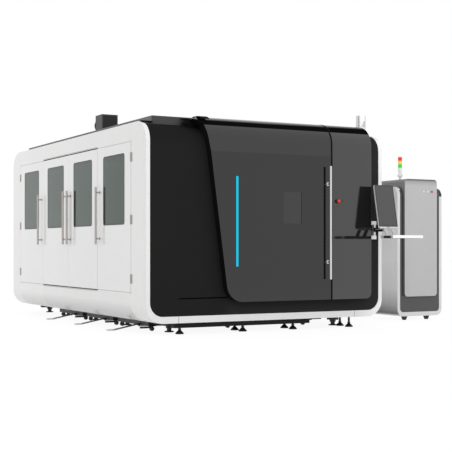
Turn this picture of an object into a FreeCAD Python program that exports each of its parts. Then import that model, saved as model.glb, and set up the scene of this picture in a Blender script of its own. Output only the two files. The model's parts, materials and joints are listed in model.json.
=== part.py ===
import FreeCAD, Part
import math
import os
from FreeCAD import Vector

# Enclosed flat-bed fibre laser cutting machine, in millimetres.
# The lengths below are set out from the cabin's front left corner at the floor:
# X runs right along the front, Y runs back along the cabin, Z runs up.
# The finished pieces are moved so that the origin is under the middle of the machine.

# ---- cabin
cabin_width = 2940.0
cabin_length = 4550.0
skirt_height = 125.0          # underside of the skirts above the floor
cabin_top = 2192.0
wall = 25.0
bottom_radius = 190.0         # long bottom edges
brow_radius = 200.0           # front and rear top edges
ridge_radius = 14.0           # long top edges
ring_width = 46.0
ring_foot = 71.0              # height of the white band under the fascia
ring_depth = 60.0
post_return = 250.0           # how far the skirts and posts turn in under the cabin
header_return = 178.0         # how far the side headers turn in over the top
fascia_recess = 6.0
fascia_thickness = 18.0
roof_inset = 154.0
roof_rise = 83.0
roof_sheet = 12.0
roof_rim = 60.0               # flat rim left round the open underside of the roof
sheet_gap = 2.0               # seam between two neighbouring panels

# ---- folding doors on the long side
door_start = 387.0
rear_post_length = 339.0      # from the last leaf to the rear end
leaf_count = 4
door_sill = 431.0
header_height = 174.0         # from the doors' head to the cabin's top
leaf_thickness = 44.0
leaf_gap = 2.0                # half of the gap between two leaves
leaf_play = 6.0               # above and below a leaf
window_width = 615.0
window_bottom = 1148.0
window_head = 110.0           # left between a window and the doors' head
window_corner = 35.0
pane_thickness = 8.0
pane_setback = 2.0
ledge_width = 20.0            # rebate ledge that a pane is bonded to
ledge_corner = 4.0
side_handle_length = 640.0
side_handle_middle = 1262.0
side_handle_diameter = 25.0
side_handle_standoff = 50.0
side_handle_inset = 70.0      # from the leaf's free edge
side_handle_post = 517.0      # between the two posts
side_post_diameter = 17.5
rosette_diameter = 32.0
rosette_thickness = 5.0
hinge_length = 96.0
hinge_diameter = 18.0
hinge_pin = 8.0
hinge_plate_width = 28.0      # on the jamb, beside the barrel
hinge_plate_thickness = 3.0
hinge_low = 147.0             # lowest hinge above the sill
hinge_middle = 766.0          # middle hinge above the sill
hinge_high = 167.0            # highest hinge below the doors' head
running_gap = 0.4             # pins in knuckles, wheels on rails
guide_pin_diameter = 8.0
guide_pin_length = 10.0
guide_pin_depth = 9.0         # behind the outer face of a leaf
guide_pin_edge = 14.0         # from the leaf's free edge
track_height = 16.0
track_depth = 30.0
track_sheet = 2.0

# ---- sliding front door and the fixed cover beside it
wrap_stand_off = 100.0        # how far the grey front stands out from the ring
wrap_bottom = 333.0
crease_drop = 373.0           # from the wrap's top down to its crease
wrap_lean = 6.0
wrap_radius = 250.0
wrap_rise = 88.0              # wrap above the cabin's top
wrap_skin = 4.0
wrap_flange = 26.0
wrap_clearance = 8.0          # between the flanges and the fascia
cap_drop = 100.0              # the black cap reaches this far down from the wrap's top
door_left_foot = 902.0
door_left_crease = 692.0
door_left_cap = 634.0
door_left_tip = 500.0
door_foot_radius = 190.0
cover_margin = 217.0          # from the fixed cover to the cabin's right side
cover_span = 540.0            # from the door's seam to the cover's right edge
cover_foot_radius = 70.0
door_travel = 620.0
slot_end = 44.0               # guide slot past the guide at full travel
access_left = 1545.0
access_inset = 33.0           # from the access opening to the door's seam
access_bottom = 430.0
access_head = 242.0           # from the access opening up to the cabin's top
guide_slot_height = 378.0
guide_slot_width = 14.0
guide_inset = 130.0           # guide from the door's left foot
front_window_left = 1560.0
front_window_width = 239.0
front_window_bottom = 1158.0
front_window_top = 1510.0
led_inset = 99.0              # light strip from the door's left foot
led_width = 24.0
led_bottom = 706.0
led_top = 1654.0
front_handle_inset = 50.0     # from the door's seam
front_handle_bottom = 557.0
front_handle_top = 1795.0
front_handle_diameter = 28.0
front_handle_standoff = 62.0
front_handle_posts = (747.0, 1602.0)
rail_left_spare = 125.0       # rail past the left hanger with the door fully open
rail_right_inset = 3.0        # from the door's seam
rail_depth = 56.0
rail_height = 60.0
rail_drop = 80.0              # rail's underside below the wrap's top
rail_wall = 5.0
hanger_left_inset = 323.0     # from the door's left foot
hanger_right_inset = 173.0    # from the door's seam
hanger_width = 14.0
stop_inset = 81.0             # emergency stop from the door's seam
stop_height = 1417.0
stop_diameter = 40.0
stop_travel = 5.0

# ---- inside: bed, slats, gantry and head
bed_left = 420.0
bed_right_margin = 320.0      # from the bed to the cabin's right side
bed_front = 400.0
bed_rear_margin = 110.0
bed_beam_width = 200.0
bed_beam_bottom = 520.0
bed_top = 900.0
bed_wall = 14.0
leg_width = 100.0
foot_height = 65.0
slat_frame_front = 720.0
slat_frame_rear = 540.0       # from the slat frame to the bed's rear end
slat_frame_bottom = 640.0
slat_frame_top = 740.0
slat_frame_wall = 50.0
slat_count = 29
slat_end_gap = 70.0           # between the frame and the first slat
slat_thickness = 5.0
slat_height = 90.0
slat_teeth = 12
slat_notch = 30.0
slat_seat = 20.0              # depth of the slots that hold the slats
rail_width = 34.0
rail_rise = 30.0
rack_width = 24.0
rail_spare = 20.0             # rail past a carriage at the end of its travel
buffer_length = 40.0
buffer_height = 60.0
head_rail_rise = 22.0
head_rail_width = 24.0
gantry_y = 2080.0
gantry_travel_front = -1200.0
gantry_rear_margin = 460.0    # bed past the rear buffer
gantry_depth = 230.0
gantry_lift = 130.0           # beam above the bed
gantry_beam_height = 220.0
gantry_wall = 12.0
carriage_length = 380.0
carriage_width = 120.0
head_x = 1050.0
head_width = 260.0
head_thickness = 70.0
head_plate_height = 190.0
head_plate_drop = 40.0        # below the carriage at the lowest place
head_travel_left = -330.0
head_end_gap = 20.0           # head rails to the inner side of the end carriage
nozzle_gap = 12.0             # nozzle tip over the slats
focus_body = 70.0
focus_travel = 110.0

# ---- base frame, feet, slag carts
base_left = 380.0
base_right_margin = 280.0
base_beam_front = 130.0
base_beam_depth = 80.0
base_beam_top = 190.0
sill_width = 80.0
sill_bottom = 330.0
sill_gap = 5.0                # between the frame's sills and the lower door track
beam_deep_length = 1666.0     # the beams step up twice towards the right
beam_middle_length = 155.0
beam_middle_bottom = 104.0
inner_beam_left = 770.0       # second beam from the first one's left end, and behind it
inner_beam_setback = 100.0
beam_tie = 60.0
front_foot_inset = 79.0       # first foot from the beam's left end
front_foot_second = 835.0
front_foot_third = 1471.0
front_foot_last = 57.0        # last foot from the beam's right end
foot_diameter = 90.0
foot_rim = 10.0
foot_bell = 44.0
stud_diameter = 24.0
bed_foot_diameter = 100.0
bed_foot_rim = 12.0
bed_stud_diameter = 50.0
cart_count = 3
cart_first = 1090.0
cart_pitch = 1010.0
cart_gap = 25.0               # between a cart and the bed's legs
cart_left = 320.0
cart_right_inset = 200.0      # from the bed's right side
cart_floor = 54.0
cart_top = 112.0
cart_sheet = 4.0
wheel_diameter = 50.0
wheel_width = 26.0
axle_left_inset = 47.0        # axles from the cart's ends, and the middle one
axle_middle = 980.0
axle_right_inset = 122.0
tow_offset = 180.0            # tow bar from the cart's middle towards the front
tow_pivot_reach = 20.0        # pivot in front of the cart
tow_pivot_z = 62.0
tow_width = 40.0
tow_sheet = 12.0
tow_reach = 285.0             # from the pivot to the grip pad
tow_end_z = 8.3               # grip pad just clear of the floor
tow_pad = 75.0
tow_pad_height = 16.0
tow_pin = 10.0
tow_eye = 28.0

# ---- roof equipment
fan_inset = 80.0              # from the raised roof's left edge
fan_front = 1800.0
fan_width = 200.0
fan_depth = 215.0
fan_height = 196.0
fan_outlet = 110.0
vent_front = 215.0
vent_width = 78.0
vent_rise = 157.0             # above the raised roof
vent_louvres = 5

# ---- console
bracket_inset = 122.0         # from the cabin's right side
bracket_low = 1020.0
bracket_rise = 163.0          # from the low block to the high one
bracket_block = 34.0
bracket_plate = 6.0           # plate between the blocks, in front of the ring
pivot_setback = 22.0          # console pivot in front of the ring
pivot_diameter = 18.0
arm_rise = 85.0               # arm above the low block
arm_thickness = 40.0
arm_width = 30.0
arm_reach = 178.0             # from the pivot to the arm's end
yoke_drop = 25.0              # yoke plate's top under the monitor
yoke_sheet = 8.0
leg_pitch = 100.0
console_leg_width = 47.0
console_leg_run = 60.0        # legs slope forward from the yoke to the cross plate
cross_plate_width = 185.0
cross_plate_depth = 92.0
cross_plate_sheet = 14.0
cross_plate_rise = 12.0
monitor_reach = 162.0         # monitor's left edge from the pivot
monitor_width = 256.0
monitor_height = 474.0
monitor_thickness = 22.0
monitor_rise = 30.0           # above the arm
monitor_front = 340.0         # lower edge in front of the ring
monitor_tilt = 11.4
tray_reach = 224.0            # tray's left edge from the pivot
tray_width = 413.0
tray_overhang = 326.0         # tray in front of the monitor
tray_depth = 224.0
tray_thickness = 32.0
tray_fall = 99.0              # tray's underside below the arm

# ---- laser and control cabinet
cabinet_distance = 760.0      # from the cabin's right side
cabinet_width = 694.0
cabinet_front = 700.0
cabinet_depth = 540.0
cabinet_bottom = 50.0
cabinet_top = 1660.0
cabinet_radius = 88.0
cabinet_brow = 110.0          # the front rolls back into the top
cabinet_rim = 40.0
cabinet_foot_rim = 52.0
cover_inset_left = 90.0
cover_inset_right = 99.0
cover_bottom = 296.0
cover_proud = 30.0
cover_hood = 97.0
cover_corner = 45.0
duct_width = 100.0
duct_bottom = 60.0
duct_reach = 290.0            # past the cabinet's left side
tower_inset = 162.0           # from the cabinet's left side
tower_setback = 160.0
tower_diameter = 50.0
tower_base = 148.0            # from the hood up to the lowest lamp
tower_collar = 64.0
tower_stem = 30.0
lamp_height = 45.0
cabinet_foot_left = 165.0     # feet and controls from the cabinet's left side
cabinet_foot_middle = 466.0
cabinet_foot_right = 512.0
cabinet_foot_front = 80.0
cabinet_foot_rear = 460.0
cabinet_foot_top = 84.0       # tapered feet
cabinet_foot_base = 46.0
pilot_lamp_first = 383.0
pilot_lamp_second = 446.0
pilot_lamp_diameter = 20.0
button_inset = 511.0
button_drop = 56.0            # controls below the cabinet's top
button_diameter = 26.0
button_travel = 4.0

os.makedirs("parts", exist_ok=True)

# ---- derived places
roof_top = cabin_top + roof_rise
door_head = cabin_top - header_height
leaf_pitch = (cabin_length - rear_post_length - door_start) / leaf_count
door_end = door_start + leaf_pitch * leaf_count
sill_top = door_sill - track_height - sill_gap
leaf_bottom = door_sill + leaf_play
leaf_top = door_head - leaf_play
window_height = door_head - window_head - window_bottom
hinge_heights = (door_sill + hinge_low, door_sill + hinge_middle, door_head - hinge_high)

wrap_front = -wrap_stand_off
wrap_top = cabin_top + wrap_rise
wrap_crease = wrap_top - crease_drop
cap_start = wrap_top - cap_drop
cover_right = cabin_width - cover_margin
door_seam = cover_right - cover_span
access_right = door_seam - access_inset
access_top = cabin_top - access_head
door_guide_x = door_left_foot + guide_inset
led_x = door_left_foot + led_inset
front_window_right = front_window_left + front_window_width
front_handle_x = door_seam - front_handle_inset
hanger_positions = (door_left_foot + hanger_left_inset, door_seam - hanger_right_inset)
rail_left = hanger_positions[0] - door_travel - rail_left_spare
rail_right = door_seam - rail_right_inset
rail_base = wrap_top - rail_drop
stop_x = door_seam + stop_inset

bed_right = cabin_width - bed_right_margin
bed_back = cabin_length - bed_rear_margin
slat_frame_back = bed_back - slat_frame_rear
slat_room = slat_frame_back - slat_frame_front - 2 * slat_frame_wall - 2 * slat_end_gap
slat_pitch = slat_room / (slat_count - 1)
slat_top = slat_frame_top - slat_seat + slat_height
nozzle_z = slat_top + nozzle_gap
carriage_bottom = bed_top + rail_rise + running_gap
gantry_beam_bottom = bed_top + gantry_lift
run_back = bed_back - gantry_rear_margin - buffer_length
head_run_end = bed_right - bed_beam_width / 2 - carriage_width / 2 - head_end_gap

base_right = cabin_width - base_right_margin
beam_step = base_left + beam_deep_length
beam_second_step = beam_step + beam_middle_length
inner_beam_front = base_beam_front + base_beam_depth + inner_beam_setback
inner_line = inner_beam_front + base_beam_depth / 2
front_feet = (base_left + front_foot_inset, base_left + front_foot_second,
              base_left + front_foot_third, base_right - front_foot_last)
cart_right = bed_right - cart_right_inset
cart_width = cart_pitch - leg_width - 2 * cart_gap
axle_positions = (cart_left + axle_left_inset, cart_left + axle_middle,
                  cart_right - axle_right_inset)
leg_rows = (bed_front + leg_width / 2, cart_first + cart_pitch / 2,
            cart_first + cart_pitch * 1.5, cart_first + cart_pitch * 2.5,
            bed_back - leg_width / 2)
tow_pivot_x = cart_left - tow_pivot_reach
tow_end_x = tow_pivot_x - tow_reach
tow_drop = math.atan2(tow_pivot_z - tow_end_z, tow_reach)

fan_left = roof_inset + fan_inset
vent_top = roof_top + vent_rise
bracket_x = cabin_width - bracket_inset
bracket_high = bracket_low + bracket_rise
arm_height = bracket_low + arm_rise
monitor_left = bracket_x - monitor_reach
monitor_bottom = arm_height + monitor_rise
monitor_y = -monitor_front
tray_left = bracket_x - tray_reach
tray_front = monitor_front + tray_overhang
tray_bottom = arm_height - tray_fall
pivot_y = -pivot_setback

cabinet_left = cabin_width + cabinet_distance
duct_end = cabinet_left + duct_reach
tower_x = cabinet_left + tower_inset
tower_y = cabinet_front + tower_setback
cabinet_feet_x = (cabinet_left + cabinet_foot_left, cabinet_left + cabinet_foot_middle,
                  cabinet_left + cabinet_foot_right)
cabinet_feet_y = (cabinet_front + cabinet_foot_front, cabinet_front + cabinet_foot_rear,
                  cabinet_front + cabinet_foot_front)
pilot_lamps_x = (cabinet_left + pilot_lamp_first, cabinet_left + pilot_lamp_second)
button_x = cabinet_left + button_inset
button_height = cabinet_top - button_drop

machine_left = -side_handle_standoff - side_handle_diameter / 2
machine_right = cabinet_left + cabinet_width
machine_front = -tray_front
machine_middle = Vector(
    (machine_left + machine_right) / 2, (machine_front + cabin_length) / 2, 0)


# ---- building helpers
def block(x0, x1, y0, y1, z0, z1):
    """A box between two corners."""
    return Part.makeBox(x1 - x0, y1 - y0, z1 - z0, Vector(x0, y0, z0))


def rod(start, end, diameter):
    """A round bar between two points."""
    run = Vector(*end) - Vector(*start)
    return Part.makeCylinder(diameter / 2, run.Length, Vector(*start), run)


def outline(corners, place):
    """A closed wire through (a, b, radius) corners, each rounded by its radius."""
    points = [Vector(a, b, 0) for a, b, radius in corners]
    edges = []
    cursor = None
    first = None
    for index, (a, b, radius) in enumerate(corners):
        here = points[index]
        back = (points[index - 1] - here).normalize()
        ahead = (points[(index + 1) % len(points)] - here).normalize()
        if radius > 0:
            half = back.getAngle(ahead) / 2
            bisector = (back + ahead).normalize()
            start = here + back * (radius / math.tan(half))
            end = here + ahead * (radius / math.tan(half))
            middle = here + bisector * (radius / math.sin(half) - radius)
        else:
            start = here
            end = here
        if cursor is None:
            first = start
        elif (start - cursor).Length > 1e-6:
            edges.append(Part.LineSegment(place(cursor), place(start)).toShape())
        if radius > 0:
            edges.append(Part.Arc(place(start), place(middle), place(end)).toShape())
        cursor = end
    if (first - cursor).Length > 1e-6:
        edges.append(Part.LineSegment(place(cursor), place(first)).toShape())
    return Part.Wire(edges)


def prism_xz(corners, y0, y1):
    """Front-view outline drawn out along Y."""
    face = Part.Face(outline(corners, lambda p: Vector(p.x, y0, p.y)))
    return face.extrude(Vector(0, y1 - y0, 0))


def prism_yz(corners, x0, x1):
    """Side-view outline drawn out along X."""
    face = Part.Face(outline(corners, lambda p: Vector(x0, p.x, p.y)))
    return face.extrude(Vector(x1 - x0, 0, 0))


def prism_xy(corners, z0, z1):
    """Plan-view outline drawn out along Z."""
    face = Part.Face(outline(corners, lambda p: Vector(p.x, p.y, z0)))
    return face.extrude(Vector(0, 0, z1 - z0))


def rectangle(a0, a1, b0, b1, radius=0.0):
    return [(a0, b0, radius), (a1, b0, radius), (a1, b1, radius), (a0, b1, radius)]


def turned(profile, centre):
    """A body of revolution about Z from (radius, height) points."""
    points = [Vector(r, 0, z) for r, z in profile]
    face = Part.Face(Part.makePolygon(points + [points[0]]))
    body = face.revolve(Vector(0, 0, 0), Vector(0, 0, 1), 360)
    body.translate(Vector(*centre))
    return body


def joined(shapes):
    return shapes[0].fuse(shapes[1:]).removeSplitter()


def group(shapes):
    return Part.makeCompound(shapes)


def save(name, shape):
    """Move a piece to the machine's own origin and write it."""
    piece = shape.copy()
    piece.translate(machine_middle * -1)
    solids = piece.Solids
    if not solids or not piece.isValid():
        raise RuntimeError("bad shape: " + name)
    if len(solids) == 1:
        piece = solids[0]
    piece.exportStep("parts/" + name + ".step")
    print(name, len(solids), round(piece.Volume / 1e6, 2))


# ---- cabin shell: panels are cut from one hollow hull
def hull(inset):
    """The cabin's outer form, moved inwards by inset."""
    front_view = prism_xz([
        (inset, skirt_height + inset, bottom_radius - inset),
        (cabin_width - inset, skirt_height + inset, bottom_radius - inset),
        (cabin_width - inset, cabin_top - inset, max(ridge_radius - inset, 0)),
        (inset, cabin_top - inset, max(ridge_radius - inset, 0))], inset, cabin_length - inset)
    side_view = prism_yz([
        (inset, skirt_height + inset, 0),
        (cabin_length - inset, skirt_height + inset, 0),
        (cabin_length - inset, cabin_top - inset, brow_radius - inset),
        (inset, cabin_top - inset, brow_radius - inset)], 0, cabin_width)
    return front_view.common(side_view)


def fascia_window(margin):
    """Front-view outline of the opening that the ring leaves for the fascia."""
    edge = ring_width + margin
    foot = skirt_height + ring_foot + margin
    radius = bottom_radius - ring_width - margin
    return [(edge, foot, radius), (cabin_width - edge, foot, radius),
            (cabin_width - edge, cabin_top + wall, 0), (edge, cabin_top + wall, 0)]


outer_hull = hull(0)
shell = outer_hull.cut(hull(wall))
brow_back = brow_radius

front_ring = shell.common(block(0, cabin_width, 0, brow_back, 0, cabin_top))
front_ring = front_ring.cut(prism_xz(fascia_window(0), -1, brow_back + 1))
front_ring = front_ring.cut(block(0, wall, ring_depth, brow_back, 0, cabin_top))
front_ring = front_ring.cut(
    block(cabin_width - wall, cabin_width, ring_depth, brow_back, 0, cabin_top))
front_ring = front_ring.cut(
    block(0, cabin_width, ring_depth, brow_back, 0, skirt_height + bottom_radius))
save("front_ring", front_ring)

# The black front panel is made of butted sheets round the access opening and the guide slot.
fascia = hull(fascia_recess).cut(hull(fascia_recess + fascia_thickness))
fascia = fascia.common(prism_xz(fascia_window(0), -1, brow_back))
guide_slot_left = door_guide_x - door_travel - slot_end
guide_slot_right = door_guide_x + slot_end
guide_slot_bottom = guide_slot_height - guide_slot_width / 2
guide_slot_top = guide_slot_height + guide_slot_width / 2
fascia = fascia.cut(prism_xz(rectangle(
    guide_slot_left, guide_slot_right, guide_slot_bottom, guide_slot_top,
    guide_slot_width * 0.45), -1, brow_back))
fascia_sheets = []
for x0, x1, z0, z1 in (
        (0, cabin_width, 0, guide_slot_bottom),
        (0, (guide_slot_left + guide_slot_right) / 2, guide_slot_bottom, guide_slot_top),
        ((guide_slot_left + guide_slot_right) / 2, access_left, guide_slot_bottom, guide_slot_top),
        (access_left, access_right, guide_slot_bottom, access_bottom),
        (0, access_left, guide_slot_top, cabin_top),
        (access_left, access_right, access_top, cabin_top),
        (access_right, cabin_width, guide_slot_bottom, cabin_top)):
    fascia_sheets.append(fascia.common(block(x0, x1, 0, brow_back, z0, z1)))
save("front_fascia", group(fascia_sheets))

left_side = block(0, post_return, ring_depth, cabin_length, 0, cabin_top)
fascia_room = prism_xz(fascia_window(0), -1, brow_back)
left_shell = shell.common(left_side).cut(front_ring).cut(fascia_room)


def hinge_site(x, y, height, diameter):
    """The round seat of one hinge barrel about a vertical axis."""
    return rod((x, y, height - hinge_length / 2), (x, y, height + hinge_length / 2), diameter)


def hinge_seats(x, y, diameter):
    return [hinge_site(x, y, height, diameter) for height in hinge_heights]


front_post = left_shell.common(
    block(0, post_return, 0, door_start - leaf_gap, 0, cabin_top))
front_post = front_post.cut(
    block(header_return, post_return, 0, cabin_length, door_sill, cabin_top))
front_post = front_post.cut(hinge_seats(0, door_start, hinge_diameter))
save("left_front_post", front_post)
rear_post = left_shell.common(
    block(0, post_return, door_end + leaf_gap, cabin_length, 0, cabin_top))
rear_post = rear_post.cut(
    block(header_return, post_return, 0, cabin_length, door_sill, cabin_top))
rear_post = rear_post.cut(hinge_seats(0, door_end, hinge_diameter))
save("left_rear_post", rear_post)

track_start = door_start + leaf_pitch
track_end = door_end - leaf_pitch


def track_slot(z):
    return block(-1, track_depth, track_start, track_end, z, z + track_height)


header = left_shell.common(block(
    0, header_return, door_start - leaf_gap, door_end + leaf_gap, door_head, cabin_top))
header = header.fuse(block(
    wall, track_depth + wall, door_start - leaf_gap, door_end + leaf_gap,
    door_head, door_head + track_height + wall))
header = header.cut(track_slot(door_head)).removeSplitter()
save("left_header", header)

skirts = []
for index in range(leaf_count):
    start = door_start - leaf_gap + leaf_pitch * index + (sheet_gap if index else 0)
    end = door_start + leaf_pitch * (index + 1)
    if index == leaf_count - 1:
        end = door_end + leaf_gap
    skirt = left_shell.common(block(0, post_return, start, end, 0, door_sill))
    skirts.append(skirt.cut(track_slot(door_sill - track_height)))
save("left_skirts", group(skirts))

tracks = []
for top_side in (True, False):
    z0 = door_head if top_side else door_sill - track_height
    web = block(track_depth - track_sheet, track_depth, track_start, track_end,
                z0, z0 + track_height)
    far = z0 + track_height - track_sheet if top_side else z0
    flange = block(0, track_depth, track_start, track_end, far, far + track_sheet)
    tracks.append(joined([web, flange]))
save("door_tracks", group(tracks))

right_side = block(cabin_width - post_return, cabin_width, ring_depth, cabin_length,
                   0, cabin_top)
right_wall = shell.common(right_side).cut(front_ring).cut(fascia_room)
right_wall = right_wall.cut(block(
    cabin_width - post_return, cabin_width - header_return, 0, cabin_length,
    door_sill, cabin_top))
save("right_wall", right_wall)

rear_wall = shell.common(block(
    header_return, cabin_width - header_return, cabin_length - brow_radius, cabin_length,
    door_sill, cabin_top))
rear_foot = shell.common(block(
    post_return, cabin_width - post_return, cabin_length - wall, cabin_length,
    0, door_sill))
save("rear_wall", joined([rear_wall, rear_foot]))

roof_back = cabin_length - brow_radius
deck = block(header_return, cabin_width - header_return, brow_back, roof_back,
             cabin_top - wall, cabin_top)
raised = prism_xy(rectangle(
    roof_inset, cabin_width - roof_inset, brow_back, roof_back, 12), cabin_top, roof_top)
hollow = block(roof_inset + roof_sheet, cabin_width - roof_inset - roof_sheet,
               brow_back + roof_sheet, roof_back - roof_sheet, 0,
               roof_top - roof_sheet)
underside = block(header_return + roof_rim, cabin_width - header_return - roof_rim,
                  brow_back + roof_rim, roof_back - roof_rim, 0, cabin_top)
save("roof", joined([deck.cut(underside), raised.cut(hollow)]))


# ---- folding door leaves: 1 and 4 turn on the jambs, 2 and 3 turn on 1 and 4
def knuckles(x, y):
    """Fixed hinge halves: the outer thirds of each barrel with the pin between them."""
    halves = []
    third = hinge_length / 3
    for height in hinge_heights:
        bottom = height - hinge_length / 2
        lower = rod((x, y, bottom), (x, y, bottom + third), hinge_diameter)
        upper = rod((x, y, bottom + 2 * third), (x, y, bottom + hinge_length), hinge_diameter)
        pin = rod((x, y, bottom), (x, y, bottom + hinge_length), hinge_pin)
        halves.append(joined([lower, upper, pin]))
    return halves


def middle_knuckle(x, y, height):
    """The moving middle third of a hinge barrel."""
    third = hinge_length / 6 - running_gap
    ring = rod((x, y, height - third), (x, y, height + third), hinge_diameter)
    return ring


def hinge_plate(y, height, side):
    """The plate that screws to the jamb, notched round the moving middle third."""
    edge = y + side * (hinge_diameter / 2 + hinge_plate_width)
    plate = block(-hinge_plate_thickness, 0, min(y, edge), max(y, edge),
                  height - hinge_length / 2, height + hinge_length / 2)
    third = hinge_length / 6
    return plate.cut(rod((0, y, height - third), (0, y, height + third),
                         hinge_diameter + 2 * running_gap))


jamb_hinges = []
for y, side in ((door_start, -1), (door_end, 1)):
    for half, height in zip(knuckles(0, y), hinge_heights):
        jamb_hinges.append(joined([half, hinge_plate(y, height, side)]))
save("jamb_hinges", group(jamb_hinges))


def door_leaf(number):
    """One leaf with its rebated window, hinge parts and handle."""
    from_front = number <= leaf_count // 2
    y0 = door_start + leaf_pitch * (number - 1) + leaf_gap
    y1 = door_start + leaf_pitch * number - leaf_gap
    middle = (y0 + y1) / 2
    leaf = prism_yz(rectangle(y0, y1, leaf_bottom, leaf_top), 0, leaf_thickness)
    window = rectangle(middle - window_width / 2, middle + window_width / 2,
                       window_bottom, window_bottom + window_height, window_corner)
    leaf = leaf.cut(prism_yz(window, -1, pane_setback + pane_thickness))
    daylight = rectangle(
        middle - window_width / 2 + ledge_width, middle + window_width / 2 - ledge_width,
        window_bottom + ledge_width, window_bottom + window_height - ledge_width, ledge_corner)
    leaf = leaf.cut(prism_yz(daylight, -1, leaf_thickness + 1))
    outer = number in (1, leaf_count)
    hinge_side = y0 - leaf_gap if from_front else y1 + leaf_gap
    free_side = y1 + leaf_gap if from_front else y0 - leaf_gap
    inward = -1 if from_front else 1
    hinge_x = 0 if outer else leaf_thickness
    leaf = leaf.cut(hinge_seats(hinge_x, hinge_side, hinge_diameter + 2 * leaf_gap))
    rings = [middle_knuckle(hinge_x, hinge_side, height) for height in hinge_heights]
    tabs = []
    for height in hinge_heights:
        third = hinge_length / 6 - running_gap
        tab_out = hinge_side - inward * (hinge_diameter / 2 + 2 * leaf_gap)
        low_x = 0 if outer else leaf_thickness - hinge_diameter * 0.4
        high_x = hinge_diameter * 0.4 if outer else leaf_thickness
        tabs.append(block(low_x, high_x, min(hinge_side, tab_out), max(hinge_side, tab_out),
                          height - third, height + third))
    leaf = joined([leaf] + rings + tabs)
    bores = [rod((hinge_x, hinge_side, height - hinge_length / 2),
                 (hinge_x, hinge_side, height + hinge_length / 2),
                 hinge_pin + 2 * running_gap) for height in hinge_heights]
    leaf = leaf.cut(bores)
    if outer:
        leaf = leaf.cut(hinge_seats(leaf_thickness, free_side, hinge_diameter))
        leaf = joined([leaf] + knuckles(leaf_thickness, free_side))
    else:
        pin_y = free_side + inward * (leaf_gap + guide_pin_edge)
        leaf = joined([leaf, rod((guide_pin_depth, pin_y, leaf_bottom - guide_pin_length),
                                 (guide_pin_depth, pin_y, leaf_top + guide_pin_length),
                                 guide_pin_diameter).common(block(
                                     0, leaf_thickness, y0, y1, 0, cabin_top))])
    bar_y = free_side + inward * side_handle_inset
    bar = rod((-side_handle_standoff, bar_y, side_handle_middle - side_handle_length / 2),
              (-side_handle_standoff, bar_y, side_handle_middle + side_handle_length / 2),
              side_handle_diameter)
    posts = []
    for z in (side_handle_middle - side_handle_post / 2, side_handle_middle + side_handle_post / 2):
        posts.append(rod((-side_handle_standoff, bar_y, z), (0, bar_y, z), side_post_diameter))
        posts.append(rod((-rosette_thickness, bar_y, z), (0, bar_y, z), rosette_diameter))
    save("door_leaf_" + str(number), joined([leaf, bar] + posts))
    save("door_window_" + str(number), prism_yz(
        window, pane_setback, pane_setback + pane_thickness))


for number in range(1, leaf_count + 1):
    door_leaf(number)


# ---- the grey front that wraps over the top: sliding door and fixed cover
def wrap_profile(inset):
    """Side-view outline of the wrap, its outer face moved in by inset."""
    front = wrap_front + inset
    lean = front + wrap_lean
    top = wrap_top - inset
    return [(front, wrap_bottom, 0), (front, wrap_crease, 0),
            (lean, top, wrap_radius - inset), (brow_back - 1, top, 0),
            (brow_back - 1, wrap_bottom, 0)]


def wrap_body(inset):
    body = prism_yz(wrap_profile(inset), 0, cabin_width)
    return body.cut(keep_clear)


keep_clear = hull(-wrap_clearance)
wrap_layer = wrap_body(0).cut(prism_yz(wrap_profile(wrap_skin), -1, cabin_width + 1))
wrap_inside = wrap_body(wrap_skin)
far = wrap_top + 20


def door_outline(shrink):
    """Front view of the sliding door: a slanted left edge over a rounded foot."""
    return [
        (door_left_foot + shrink, wrap_bottom + shrink, door_foot_radius - shrink),
        (door_seam - shrink, wrap_bottom + shrink, 0),
        (door_seam - shrink, far, 0),
        (door_left_tip + shrink, far, 0),
        (door_left_tip + shrink, wrap_top, 0),
        (door_left_cap + shrink, cap_start, 0),
        (door_left_crease + shrink, wrap_crease, 0)]


def cover_outline(shrink):
    """Front view of the fixed cover to the right of the door."""
    left = door_seam + sheet_gap * 2
    return [
        (left + shrink, wrap_bottom + shrink, 0),
        (cover_right - shrink, wrap_bottom + shrink, cover_foot_radius - shrink),
        (cover_right - shrink, far, 0),
        (left + shrink, far, 0)]


def wrap_pieces(contour):
    """Skin below the cap line, and the black flange and cap in one piece."""
    prism = prism_xz(contour(0), wrap_front - 1, brow_back)
    core = prism_xz(contour(wrap_flange), wrap_front - 1, brow_back)
    low = block(0, cabin_width, wrap_front - 1, brow_back, 0, cap_start)
    high = block(0, cabin_width, wrap_front - 1, brow_back, cap_start, far)
    skin = wrap_layer.common(prism).common(low)
    cap = wrap_layer.common(prism).common(high)
    flange = wrap_inside.common(prism).cut(core)
    return skin, joined([cap, flange])


door_skin, door_frame = wrap_pieces(door_outline)
cover_skin, cover_frame = wrap_pieces(cover_outline)
rail_front = brow_back - rail_depth
rail_top = rail_base + rail_height
rail_way = block(0, cabin_width, rail_front - 6, brow_back, rail_base - 10, rail_top + 4)
door_frame = door_frame.cut(rail_way)

window_hole = rectangle(front_window_left, front_window_right,
                        front_window_bottom, front_window_top, 12)
led_hole = rectangle(led_x - led_width / 2, led_x + led_width / 2, led_bottom, led_top)
skin_back = wrap_front + wrap_skin
door_skin = door_skin.cut(prism_xz(window_hole, wrap_front - 1, skin_back))
door_skin = door_skin.cut(prism_xz(led_hole, wrap_front - 1, skin_back))
save("front_door_skin", door_skin)

pane_frame = rectangle(front_window_left - 14, front_window_right + 14,
                       front_window_bottom - 14, front_window_top + 14, 12)
save("front_door_window", prism_xz(pane_frame, skin_back, skin_back + pane_thickness))
led_front = prism_xz(led_hole, wrap_front - 1, skin_back)
led_back = block(led_x - led_width, led_x + led_width, skin_back, skin_back + pane_thickness,
                 led_bottom - led_width / 2, led_top + led_width / 2)
save("front_door_led", joined([led_front, led_back]))

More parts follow.
